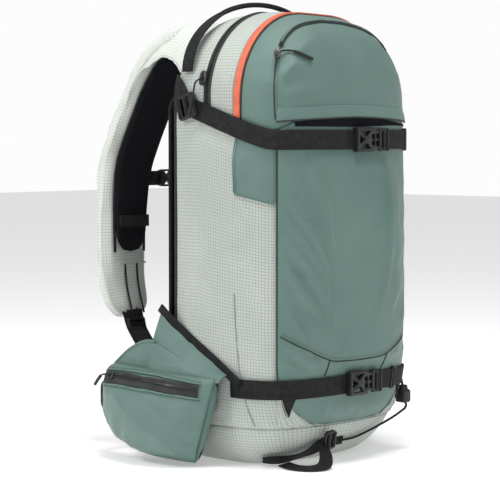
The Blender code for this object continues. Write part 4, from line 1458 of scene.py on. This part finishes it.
def shoulder_strap(side, word):
    frames = strap_frames(side)
    # The sleeve's white is the brighter ripstop copy: painted light.
    sleeve = puffed(
        f"strap_cover_{word}", frames, SLEEVE_LOW, SLEEVE_HIGH + 0.006, sleeve_width, "ripstop_painted_lit",
        f"shoulder_sleeve_{word}", 0.75, pressure=2.5, grow=0.025, cap=0.0035,
    )
    long_folds(sleeve, frames, 0.0036, side)
    pad = frames[6:38]
    puffed(
        f"strap_pad_{word}", pad, PAD_LOW - 0.001, SLEEVE_LOW + 0.001, pad_width, "knit",
        f"shoulder_pad_{word}", 0.7, around=28, pressure=1.5, grow=0.0, cap=0.0012,
    )
    for sign in (-1, 1):
        rim = []
        for i, (here, out) in enumerate(pad):
            reach = pad_width(i / (len(pad) - 1)) / 2 + 0.0005
            rim.append(here + Vector((sign * reach, 0, 0)) + out * (SLEEVE_LOW - 0.0012))
        edge = "in" if sign * side < 0 else "out"
        settle(tube(f"strap_binding_{word}_{edge}", rim, 0.0019, "webbing"), "harness", "webbing")
    strap_foot(word, frames)


def strap_foot(word, frames):
    """Below the pad: the fold band, a pale stitched line, two thin cords and the adjuster's ladder lock."""
    def across(name, frame, half, count, lift, width, thick, material):
        spot, out = frame
        line = [spot + Vector((x * half, 0, 0)) + out * (PAD_LOW + lift(x)) for x in steps(-1, 1, count)]
        made = band(f"strap_{name}_{word}", line, [-out] * len(line), width, thick, material)
        settle(made, "harness", material)

    across("fold", frames[34], 0.027, 16, lambda x: -0.0022 - 0.0008 * (1 - x * x), 0.016, 0.0030, "webbing")
    across("line", frames[38], 0.026, 12, lambda x: 0.0030, 0.0022, 0.0012, "ripstop")
    cords = []
    for k, x in enumerate((-0.010, 0.012)):
        run = [here + Vector((x, 0, 0)) + out * (SLEEVE_LOW - 0.0022) for here, out in frames[38:45]]
        cords.append(tube(f"strap_cord_{word}_{k}", run, 0.0013, "webbing", 8))
    settle(joined(f"strap_cords_{word}", *cords), "harness", "webbing")
    node = f"strap_ladder_lock_{word}"
    (wide, deep, high), matrix = on_node(node, (0, 0.25, 0.97), (0, 1, -0.25))
    slots = [rounded(0.0030, wide * 0.74, 0.0010, (x, 0)) for x in (-0.0035, 0.0035)]
    outlines = [rounded(high, wide, 0.0030)] + slots
    moulded(node + "_shell", "harness", matrix, [(outlines, deep * 0.55, 0.0009)], node)


def lower_strap(side, word):
    """The webbing from the shoulder strap's foot to the hip wing's root."""
    path = smooth_path([(side * x, y, z) for x, y, z in LOWER_STRAP], 34)
    outs = [Vector((1, 0, 0)).cross(heading(path, i)).normalized() for i in range(len(path))]
    strip = band(f"lower_strap_{word}", path, outs, lambda t: 0.038 - 0.008 * t, WEBBING_THICK, "webbing")
    edge = [p + Vector((side * 0.002, 0, 0)) - o * 0.0022 for p, o in zip(path[:24], outs[:24])]
    tail = band(f"lower_strap_tail_{word}", edge, outs[:24], 0.022, 0.0014, "webbing")
    span(joined(f"lower_webbing_{word}_run", strip, tail), "webbing", ("pack", "harness"),
         (world(path[30]), world(path[2])), f"lower_strap_webbing_{word}")


WING_START_Y = 0.079


def top_height(x, y):
    """The height of the bag's top at a place."""
    low, high = SHOULDER_Z - 0.05, HEIGHT
    for _ in range(30):
        middle = (low + high) / 2
        if bag_value(Vector((x, y, middle))) < 1:
            low = middle
        else:
            high = middle
    return low


def yoke_wing(side, word):
    """The wide fabric that runs from the bag's top over to a shoulder strap."""
    frames = strap_frames(side)
    rows = []
    for t in steps(0, 1, 22):
        ease = t * t * (3 - 2 * t)
        here, out = frames[int(2 + 10 * ease)]
        row = []
        for s in steps(0, 1, 24):
            x0 = side * (0.010 + 0.126 * s)
            start = Vector((x0, WING_START_Y, top_height(x0, WING_START_Y) + 0.0015))
            edge = (s - 0.5) * 2
            rise = SLEEVE_HIGH + 0.0080 - 0.0050 * max(0.0, t - 0.75) / 0.25 - 0.020 * abs(edge) ** 5
            end = here + Vector((side * edge * 0.0435, 0, 0)) + out * rise
            lift = 0.010 * math.sin(math.pi * t) * (1 - abs(edge) ** 3)
            p = start.lerp(end, ease)
            row.append(Vector((p.x, start.y + (end.y - start.y) * t, p.z + lift)))
        rows.append(row)
    # The wing and its seam tape are the brighter ripstop copy: painted light.
    obj = grid_object(f"yoke_wing_{word}", rows, "ripstop_painted_lit")
    face_out(obj, Vector((0, 0, 1)))
    cloth_run(obj, border_of(23, 25), pressure=1.5, grow=0.015, cap=0.003)
    thicken(obj, 0.0016)
    finalise(obj)
    bend = world((0, WING_START_Y + 0.004, 0.56)), world((0, 0.135, 0.54))
    span(obj, "ripstop_fabric", ("pack", "harness"), bend)
    out = frames[12][1]
    edge = [p + out * 0.0012 for p in rows[-1][2:-2]]
    outs = [out] * len(edge)
    tape = band(f"yoke_wing_{word}_tape", edge, outs, 0.0090, 0.0022, "ripstop_painted_lit")
    threads = [([p + out * 0.0013 + Vector((0, out.z, -out.y)) * reach for p in edge], outs)
               for reach in (-0.0032, 0.0032)]
    stitched = stitches(f"yoke_wing_{word}_thread", threads, "tape")
    settle(joined(f"yoke_wing_{word}_seam", tape, stitched), "harness", "ripstop_painted_lit")


def sternum_strap():
    for side, word in SIDES:
        node = f"sternum_webbing_{word}"
        low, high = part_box(node)
        y, z = (low[1] + high[1]) / 2 - BAG_Y, (low[2] + high[2]) / 2
        x0, x1 = (low[0] - 0.016, high[0]) if side < 0 else (low[0], high[0] + 0.016)
        line = [Vector((x, y, z)) for x in steps(x0, x1, 18)]
        strip = band(f"sternum_strap_{word}", line, [Vector((0, 1, 0))] * len(line), 0.020, 0.0016, "webbing")
        if side < 0:
            settle(strip, "harness", "webbing", node)
        else:
            span(strip, "webbing", ("harness", "sternum_plug"), (world(line[14]), world(line[1])), node)
    node = "sternum_buckle_socket"
    (wide, deep, high), matrix = on_node(node, (1, 0, 0), (0, 1, 0))
    windows = mirrored([(-0.2 * wide, 0.38 * high), (0.02 * wide, 0.10 * high), (0.3 * wide, 0.38 * high)])
    moulded("sternum_socket_shell", "harness", matrix, [
        ([rounded(wide, high, 0.005)] + windows, deep * 0.7, 0.001),
        ([rounded(0.003, high * 0.9, 0.0012, (-wide * 0.42, 0))], deep * 0.95, 0.0009),
    ], node)
    node = "sternum_buckle_plug"
    (wide, deep, high), matrix = on_node(node, (1, 0, 0), (0, 1, 0))
    body = [rounded(wide * 0.7, high * 0.9, 0.004, (0.15 * wide, 0)),
            rounded(0.0028, high * 0.6, 0.001, (0.18 * wide, 0))]
    prongs = [([rounded(wide * 0.6, 0.003, 0.0014, (-0.45 * wide, s * high * 0.3))], deep * 0.4, 0.0008)
              for s in (-1, 1)]
    moulded("sternum_plug_shell", "sternum_plug", matrix, [(body, deep * 0.7, 0.001)] + prongs, node)


def trigger():
    """The pull handle on the left strap's outer face, on its cable housing."""
    node = "trigger_handle"
    (wide, deep, high), matrix = on_node(node, (0, 0, 1), (0, 1, 0))
    grip = [rounded(high, wide, 0.0085), rounded(high * 0.46, wide * 0.30, 0.0028, (-high * 0.10, 0))]
    ribs = [([rounded(0.0022, wide * 0.70, 0.0010, (high * x, 0))], deep, 0.0009) for x in (0.24, 0.31, 0.38)]
    moulded("trigger_shell", "trigger", matrix, [(grip, deep * 0.86, 0.0030)] + ribs, node, material="orange")
    frames = strap_frames(-1, 22)
    low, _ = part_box("trigger_cable")
    path = [here + out * 0.0268 for here, out in frames[5:] if here.z > low[2] - 0.004]
    path.insert(0, frames[4][0] + frames[4][1] * 0.0190)
    cable = tube("trigger_cable_housing", smooth_path(path, 60), 0.0024, "liner")
    rings = [
        tube(f"trigger_cable_ring_{k}", [path[k], path[k].lerp(path[k + 1], 0.3)], 0.0034, "plastic", 12)
        for k in (2, 4, 6)
    ]
    settle(joined("trigger_cable_run", cable, *rings), "harness", "liner", "trigger_cable")


# ---------------------------------------------------------------- hip belt

def wing_x(y):
    return WING_X + 0.012 * math.sin(math.pi * wing_share(y))


def wing_share(y):
    return min(max((y - WING_FRONT_Y) / (WING_TIP_Y - WING_FRONT_Y), 0.0), 1.0)


def smooth_between(points, at):
    """A smooth line through (place, height) points."""
    if at <= points[0][0]:
        return points[0][1]
    for k in range(len(points) - 1):
        if at <= points[k + 1][0]:
            t = (at - points[k][0]) / (points[k + 1][0] - points[k][0])
            a, b, c, d = (points[min(max(i, 0), len(points) - 1)][1] for i in range(k - 1, k + 3))
            return catmull_rom(a, b, c, d, t)
    return points[-1][1]


def lean(y, up):
    """How far the wing's front edge slopes back towards its foot."""
    return 0.036 * (1 - min(max(up, 0.0), 1.0)) ** 1.3 * max(0.0, 1 - 1.8 * wing_share(y))


def ruffle(obj, grid, depth, seed):
    """Presses soft creases into a grid of fabric, fading out at its sewn edges."""
    points = coordinates(obj)
    rng = np.random.default_rng(seed)
    shift = np.zeros(len(points))
    for _ in range(5):
        turn, bend = (row / np.linalg.norm(row) for row in rng.normal(size=(2, 3)))
        phase = points @ turn * math.pi / (CREASE_PITCH * rng.uniform(0.6, 1.5)) + rng.uniform(0, math.tau)
        phase += 1.2 * np.sin(points @ bend * math.tau / 0.10 + rng.uniform(0, math.tau))
        shift += (0.5 - np.abs(np.sin(phase))) * rng.uniform(0.4, 1.0)
    shift *= depth * from_edge(*grid, 5)
    move_to(obj, points + vertex_normals(obj) * shift[:, None])


def hip_wing(side, word):
    """The padded wing: knit inside, fabric outside, bound at its edge."""
    around = 36
    rows = []
    ys = [WING_FRONT_Y + 0.004 + (WING_TIP_Y - WING_FRONT_Y - 0.006) * t for t in steps(0, 1, 40)]
    for y in ys:
        low, high = smooth_between(WING_LOW, y), smooth_between(WING_HIGH, y) - 0.002
        row = []
        for k in range(around):
            angle = math.tau * k / around
            depth = WING_THICK / 2 + squared(math.cos(angle), 0.7) * WING_THICK * 0.5
            rise = (low + high) / 2 + squared(math.sin(angle), 0.45) * (high - low) / 2
            row.append(Vector((side * (wing_x(y) + depth), y + lean(y, (rise - low) / (high - low)), rise)))
        rows.append(row)
    obj = grid_object(f"hip_wing_{word}_pad", rows, "knit", loop=True, caps=True)
    obj.data.validate()
    bm = bmesh.new()
    bm.from_mesh(obj.data)
    bmesh.ops.recalc_face_normals(bm, faces=bm.faces)
    bm.to_mesh(obj.data)
    bm.free()
    obj.data.materials.append(MATERIALS["green"])
    for polygon in obj.data.polygons:
        polygon.material_index = int(polygon.normal.x * side > 0.1 or polygon.normal.y < -0.2)
    sewn = (around // 4, around * 3 // 4)
    pad_with_ends(obj, f"hip_{word}", "knit", f"hip_wing_{word}", 0.8, sewn, len(rows), around, pressure=1.5,
                  grow=0.008, cap=0.0025)

    def rim(line, ys, rise):
        xs = [side * (wing_x(y) + WING_THICK * 0.55) for y in ys]
        return [Vector((x, y, smooth_between(line, y) + rise)) for x, y in zip(xs, ys)]

    edge = rim(WING_HIGH, ys[21:], -0.001) + rim(WING_LOW, ys[:6:-1], 0.001)
    settle(tube(f"hip_wing_{word}_binding", edge, 0.0022, "green"), f"hip_{word}", "green")


def pocket_outer(y, z, side, depth):
    low, high = smooth_between(WING_LOW, y) + 0.003, smooth_between(POCKET_HIGH, y)
    up = min(max((z - low) / (high - low), 0.0), 1.0)
    share = wing_share(y)
    crown = (math.sin(math.pi * share) ** 0.5) * (1 - abs(2 * up - 1) ** 2.6) ** 0.5
    return side * (wing_x(y) + WING_THICK + 0.003 + depth * crown)


def hip_pocket(side, word):
    """The zipped pocket: a full lower face, a zip band across it and a flatter part above."""
    body = f"hip_{word}"
    rows = []
    for t in steps(0, 1, 44):
        y = WING_FRONT_Y + 0.002 + (WING_TIP_Y - WING_FRONT_Y - 0.003) * t
        low, high = smooth_between(WING_LOW, y) + 0.001, smooth_between(POCKET_HIGH, y)
        rows.append([
            Vector((pocket_outer(y, z, side, POCKET_DEPTH + 0.004), y + lean(y, up), z))
            for up, z in [(up, low + (high - low) * up) for up in steps(0, 1, 30)]
        ])
    obj = grid_object(f"hip_pocket_{word}_face", rows, "green")
    face_out(obj, Vector((side, 0, 0)))

    def quiet(p):
        low, high = smooth_between(WING_LOW, p.y - BAG_Y), smooth_between(POCKET_HIGH, p.y - BAG_Y)
        up = (p.z - low) / (high - low)
        return 0.15 + 0.85 * min(1.0, abs(up - 0.84) / 0.14)

    cloth_run(obj, border_of(45, 31), pressure=2.5, grow=0.035, cap=0.0055, squeeze=quiet)
    ruffle(obj, (45, 31), 0.0027, 41 + side)
    thicken(obj, 0.0014)
    settle(obj, body, "green", f"hip_pocket_{word}")
    tree = surface_tree(obj)

    def on_pocket(y, z, lift):
        place, out, _, _ = tree.ray_cast(world((side * 0.30, y, z)), Vector((-side, 0, 0)), 0.3)
        if place is None:
            return Vector((pocket_outer(y, z, side, POCKET_DEPTH) + side * lift, y, z)), Vector((side, 0, 0))
        if out.x * side < 0:
            out = -out
        return Vector((place.x, y, z)) + out * lift, out

    def pocket_line(y0, y1, height, lift):
        return zip(*(on_pocket(y, height(y), lift) for y in steps(y0, y1, 50)))

    def zip_height(y):
        return smooth_between(POCKET_HIGH, y) - 0.0185 + 0.0045 * math.sin(math.pi * wing_share(y))

    def strip(name, y0, y1, rise, lift, width, thick, material):
        line = pocket_line(y0, y1, lambda y: zip_height(y) + rise, lift)
        return band(name, *line, width, thick, material)

    tape = strip(f"hip_zip_{word}_tape", 0.006, 0.170, 0.0, 0.0010, 0.0170, 0.0012, "tape")
    inner = strip(f"hip_zip_{word}_strip", 0.008, 0.168, 0.0015, 0.0022, 0.0042, 0.0010, "plastic")
    settle(joined(f"hip_zip_{word}_run", tape, inner), body, "tape")
    for name, rise in (("upper", 0.0092), ("lower", -0.0092)):
        rim, _ = pocket_line(0.004, 0.172, lambda y: zip_height(y) + rise, 0.0009)
        fold = tube(f"hip_zip_{word}_{name}_fold", rim, 0.0012, "green", 8)
        line = pocket_line(0.004, 0.172, lambda y: zip_height(y) + rise * 1.28, 0.0002)
        thread = stitches(f"hip_zip_{word}_{name}_thread", [tuple(line)], "tape")
        settle(joined(f"hip_zip_{word}_{name}", fold, thread), body, "green")
    node = f"hip_zip_slider_{word}"
    y = in_bag(node_middle(node)).y
    place, out = on_pocket(y, zip_height(y) + 0.0015, 0.0)
    shift = place + out * 0.003
    pull = [shift + out * lift + Vector((0, *step)) for lift, *step in HIP_PULL]
    moulded(node + "_shell", f"hip_slider_{word}", frame_at(world(shift), (0, 1, 0), out),
            [([rounded(0.013, 0.008, 0.0025)], 0.0045, 0.0008)], node, material="metal",
            extra=pull_cord(pull, node))
    hem = pocket_line(
        WING_FRONT_Y + 0.046, WING_TIP_Y - 0.004, lambda y: smooth_between(WING_LOW, y) + 0.0055, 0.0004)
    settle(stitches(f"hip_pocket_{word}_hem", [tuple(hem)], "tape"), body, "green")


STABILISER_TOP = ((-0.036, 0.110), (-0.020, 0.120), (0.010, 0.139), (0.050, 0.163), (0.088, 0.188),
                  (0.104, 0.200))


def stabiliser(side, word):
    """The fabric that ties the wing to the bag's side, with its bound diagonal edge."""
    rows = []
    near = HALF_WIDTH + 0.0035
    for t in steps(0, 1, 12):
        row = []
        for s in steps(0, 1, 28):
            y = -0.016 + 0.118 * s
            low = smooth_between(POCKET_HIGH, max(y, WING_FRONT_Y)) - 0.006
            z = low + (smooth_between(STABILISER_TOP, y) - low) * t
            far = wing_x(y) + WING_THICK + 0.0045
            x = far + (near - far) * t ** 1.3
            row.append(Vector((side * (x + 0.003 * math.sin(math.pi * t) * math.sin(2 * s + 1)), y, z)))
        rows.append(row)
    obj = grid_object(f"stabiliser_{word}", rows, "green")
    out = Vector((side, 0, 0))
    face_out(obj, out)
    cloth_run(obj, border_of(13, 29), pressure=2.0, grow=0.03, cap=0.004)
    ruffle(obj, (13, 29), 0.0022, 51 + side)
    thicken(obj, 0.0014)
    finalise(obj)
    pivot = world((side * 0.158, WING_FRONT_Y, 0.07))
    span(obj, "green_fabric", ("pack", f"hip_{word}"),
         (pivot + Vector((0, 0, 0.10)), pivot + Vector((0, 0.02, 0.05))))
    line = smooth_path([(side * (HALF_WIDTH + 0.0060), y, z) for y, z in STABILISER_TOP], 40)
    binding = band(f"stabiliser_{word}_binding", line, [out] * len(line), 0.0115, 0.0030, "webbing")
    settle(binding, "pack", "webbing")


def hip_buckles():
    for side, word, half in ((-1, "left", "socket"), (1, "right", "plug")):
        node = f"hip_buckle_{half}"
        (long, deep, high), matrix = on_node(node, (-side, 0, 0), (0, 1, 0))
        slot = rounded(long * 0.10, high * 0.60, 0.0015, (-long * 0.34, 0))
        if half == "socket":
            window = ((-0.16, 0.30), (0.30, 0.30), (0.06, 0.08))
            windows = mirrored([(x * long, z * high) for x, z in window])
            parts = [
                ([rounded(long, high * 0.92, 0.010), slot] + windows, deep * 0.62, 0.0014),
                ([rounded(long * 0.22, high * 0.26, 0.004, (long * 0.05, 0))], deep * 0.85, 0.0012),
            ]
        else:
            prongs = [
                rounded(long * 0.56, 0.0055, 0.0025, (long * 0.20, s * high * 0.30), -s * 0.08)
                for s in (-1, 1)
            ]
            parts = [
                ([rounded(long * 0.46, high * 0.92, 0.008, (-long * 0.25, 0)), slot], deep * 0.62, 0.0014),
                *(([prong], deep * 0.45, 0.0010) for prong in prongs),
                ([rounded(long * 0.48, 0.0050, 0.0022, (long * 0.16, 0))], deep * 0.35, 0.0010),
            ]
        moulded(node + "_shell", f"hip_{half}", matrix, parts, node)
        y = in_bag(node_middle(node)).y
        line = ((wing_x(0.150) + 0.012, 0.150), (wing_x(0.178) + 0.014, 0.178), (0.166, 0.199),
                (0.152, y + 0.003), (0.148, y - 0.004))
        path = smooth_path([(side * x, y, 0.078) for x, y in line], 30)
        outs = [heading(path, i).cross(Vector((0, 0, 1))).normalized() * side for i in range(len(path))]
        web = band(f"hip_webbing_{word}", path, outs, 0.034, 0.0020, "webbing")
        span(web, "webbing", (f"hip_{word}", f"hip_{half}"),
             (world((side * 0.168, 0.190, 0.078)), world((side * 0.158, 0.2, 0.078))))


# ---------------------------------------------------------------- back panel, haul loop, foot and cord

def back_panel():
    """The padded back panel: foam blocks with air channels between them, under spacer mesh."""
    size, middle = node_size("back_panel_pad"), node_middle("back_panel_pad")
    low = middle.y - size.y / 2 - BAG_Y
    rows = []
    for v in steps(0, 1, 66):
        z = middle.z - size.z / 2 + 0.001 + (size.z - 0.002) * v
        pinch = min(1.0, min(v, 1 - v) / 0.05)
        half = (size.x / 2 - 0.001) * (0.90 + 0.10 * math.sqrt(pinch))
        row = []
        for u in steps(-1, 1, 54):
            channel = math.exp(-(u / 0.10) ** 2)
            for place in (0.24, 0.52, 0.78):
                sweep = place + 0.05 * (1 - u * u)
                channel = max(channel, 0.75 * math.exp(-((v - sweep) / 0.018) ** 2))
            edge = min(1.0, (1 - abs(u)) / 0.12, pinch * 1.2)
            height = size.y * (0.25 + 0.68 * math.sqrt(edge)) * (1 - 0.55 * channel * edge)
            row.append(Vector((u * half, low + 0.0004 + height, z)))
        rows.append(row)
    obj = grid_object("back_panel_mesh", rows, "mesh")
    face_out(obj, Vector((0, 1, 0)))
    cloth_run(obj, border_of(67, 55), pressure=0.8, grow=0.004, cap=0.0012)
    thicken(obj, 0.0030)
    settle(obj, "pack", "mesh", "back_panel_pad")
    outline = rounded(size.x - 0.004, size.z - 0.004, 0.020, count=8)
    rim = [Vector((x, low + 0.0045, middle.z + z)) for x, z in outline + outline[:1]]
    settle(tube("back_panel_binding", rim, 0.0028, "webbing"), "pack", "webbing")


def haul_loop():
    low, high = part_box("haul_loop")
    y = (low[1] + high[1]) / 2 - BAG_Y
    base, top, reach = float(low[2]), float(high[2]), float(high[0]) - 0.0015
    points, outs = [], []
    for a in steps(math.pi, 0, 70):
        points.append(Vector((reach * math.cos(a), y, base + (top - base - 0.0015) * math.sin(a))))
        outs.append(Vector((math.cos(a) / reach, 0, math.sin(a) / (top - base))).normalized())

    def strip_width(t):
        return 0.018 - 0.009 * math.exp(-((t - 0.5) / 0.20) ** 4)

    def grip_radius(t):
        return 0.0034 * min(1.0, 0.55 + 4 * min(t, 1 - t))

    strip = band("haul_loop_webbing", points, outs, strip_width, 0.0022, "webbing")
    grip = tube("haul_loop_grip", points[20:51], grip_radius, "webbing", 12)
    settle(joined("haul_loop_handle", strip, grip), "haul", "webbing", "haul_loop")


def ski_loop():
    node = "ski_loop_buckle"
    (wide, deep, high), matrix = on_node(node, (1, 0, 0.10), (0, -1, -0.25))
    slots = [rounded(0.0040, high * 0.70, 0.0012, (x, 0)) for x in (-0.006, 0.004)]
    bars = [([rounded(0.0032, high * 0.86, 0.0014, (x, 0))], deep * 0.95, 0.001) for x in (-0.0015, 0.0085)]
    moulded(node + "_shell", "pack", matrix,
            [([rounded(wide * 0.72, high, 0.004)] + slots, deep * 0.62, 0.0011)] + bars, node)
    points, outs = [], []
    start, end = front_angle(-0.050), 199
    for t in steps(0, 1, 40):
        spot = bag_point(math.radians(start + (end - start) * t), 0.013 + 0.019 * (1 - t) ** 1.5)
        out = bag_normal(spot)
        points.append(spot + out * (0.0055 + 0.004 * math.sin(math.pi * t)))
        outs.append((out + Vector((0, 0, 0.3 * math.sin(3 * math.pi * t)))).normalized())
    run = band("ski_loop_run", points, outs, lambda t: 0.019 - 0.006 * t, WEBBING_THICK, "webbing")
    path = smooth_path(SKI_TURN, 34)
    outs = [
        Vector((-0.2, -0.9 * (1 - i / 34) ** 2, 0.3 + 0.7 * min(1.0, i / 16))).normalized() for i in range(35)
    ]
    loop = band("ski_loop_turn", path, outs, 0.018, WEBBING_THICK, "webbing")
    settle(joined("ski_loop_strap", run, loop), "pack", "webbing", "ski_loop_webbing")


CORD_ROUTE = ((328, 0.056, 0.019), (320, 0.045, 0.010), (300, 0.030, 0.0045), (285, 0.026, 0.0040),
              (270, 0.026, 0.0040))


def tool_cord():
    """The elastic tool cord under the right front corner, with its cord lock."""
    (wide, deep, high), matrix = on_node("cord_lock_body", (1, 0, 0), (0, -1, 0))
    body = in_bag(node_middle("cord_lock_body"))
    neck = [body + Vector((0, 0, h)) for h in (0.0080, 0.0100)]
    collar = tube("cord_lock_collar", neck, 0.0068, "plastic", 18)
    moulded("cord_lock_shell", "pack", matrix, [([rounded(wide, high, 0.0035)], deep * 0.94, 0.0024)],
            "cord_lock_body", extra=[collar])
    button = in_bag(node_middle("cord_lock_button"))
    knob = tube(
        "cord_lock_knob", [button + Vector((0, 0, h)) for h in steps(-0.0034, 0.0034, 8)],
        lambda t: 0.0058 * min(1.0, 0.72 + 1.6 * (1 - t)), "plastic", 20,
    )
    settle(knob, "cord_button", "plastic", "cord_lock_button")
    route = []
    for degrees, z, lift in CORD_ROUTE:
        angle = math.radians(degrees)
        round_way = (bag_point(angle + 0.01, z) - bag_point(angle - 0.01, z)).normalized()
        route.append(bag_point(angle, z) + Vector((round_way.y, -round_way.x, 0)) * lift)
    path = smooth_path(route, 40)
    cord = tube("tool_cord_run", path, CORD_THICK / 2, "webbing", 10)
    settle(cord, "pack", "webbing", "tool_cord")
    tab_at = frame_at(world(path[-1] + Vector((0, 0.0021, 0))), (1, 0, 0), (0, -1, -0.2))
    settle(plate("tool_cord_tab", [rounded(0.014, 0.012, 0.002)], 0.0022, tab_at, "webbing", 0.0007), "pack",
           "webbing")
    rise = [body + Vector(step) for step in ((0, 0, 0.0085), (-0.001, 0.002, 0.020), (-0.003, 0.004, 0.032))]
    foot = body - Vector((0, 0, 0.006))
    drop = [foot, foot.lerp(path[0], 0.5) + Vector((0.002, -0.002, 0)), path[0]]
    strands = [
        tube(f"cord_lock_{name}", smooth_path(line, count), CORD_THICK / 2, "webbing", 8)
        for name, line, count in (("hanger", rise, 12), ("drop", drop, 14))
    ]
    settle(joined("cord_lock_strands", *strands), "pack", "webbing")


# ---------------------------------------------------------------- inside the bag

def folded_airbag():
    """The airbag folded in pleats under the yoke."""
    low, high = map(in_bag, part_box("airbag_folded"))
    middle, half = (low + high) / 2, (high - low) / 2
    rows = []
    for u in steps(0, 1, 40):
        row = []
        for angle in [math.tau * (k + 0.5) / 64 for k in range(64)]:
            pleat = 0.0022 * math.cos(9 * angle + 1.2 * math.sin(5 * u)) - 0.003
            y = middle.y + squared(math.cos(angle), 0.5) * (half.y + pleat)
            z = middle.z + squared(math.sin(angle), 0.5) * (half.z + pleat)
            row.append(Vector((low.x + 0.002 + (high.x - low.x - 0.004) * u, y, z)))
        rows.append(row)
    obj = grid_object("airbag_pleats", rows, "airbag", loop=True, caps=True)
    settle(obj, "pack", "airbag", "airbag_folded")


INNER = {
    "frame_sheet": "liner", "frame_stay_left": "aluminium", "frame_stay_right": "aluminium",
    "fan_housing": "grey", "impeller": "plastic", "motor": "aluminium", "power_module": "grey",
    "power_switch": "orange",
}


def inner_parts():
    for node, material in INNER.items():
        obj = frame["nodes"][node]
        obj.data.materials.clear()
        obj.data.materials.append(MATERIALS[material])


camera_light_floor()
make_materials()
all_panels()
grow_trees()
compression_straps()
panel_seams()
zips_and_piping()
pocket_lip()
for side, word in SIDES:
    shoulder_strap(side, word)
    lower_strap(side, word)
    yoke_wing(side, word)
    hip_wing(side, word)
    hip_pocket(side, word)
    stabiliser(side, word)
sternum_strap()
trigger()
hip_buckles()
back_panel()
haul_loop()
ski_loop()
tool_cord()
folded_airbag()
inner_parts()
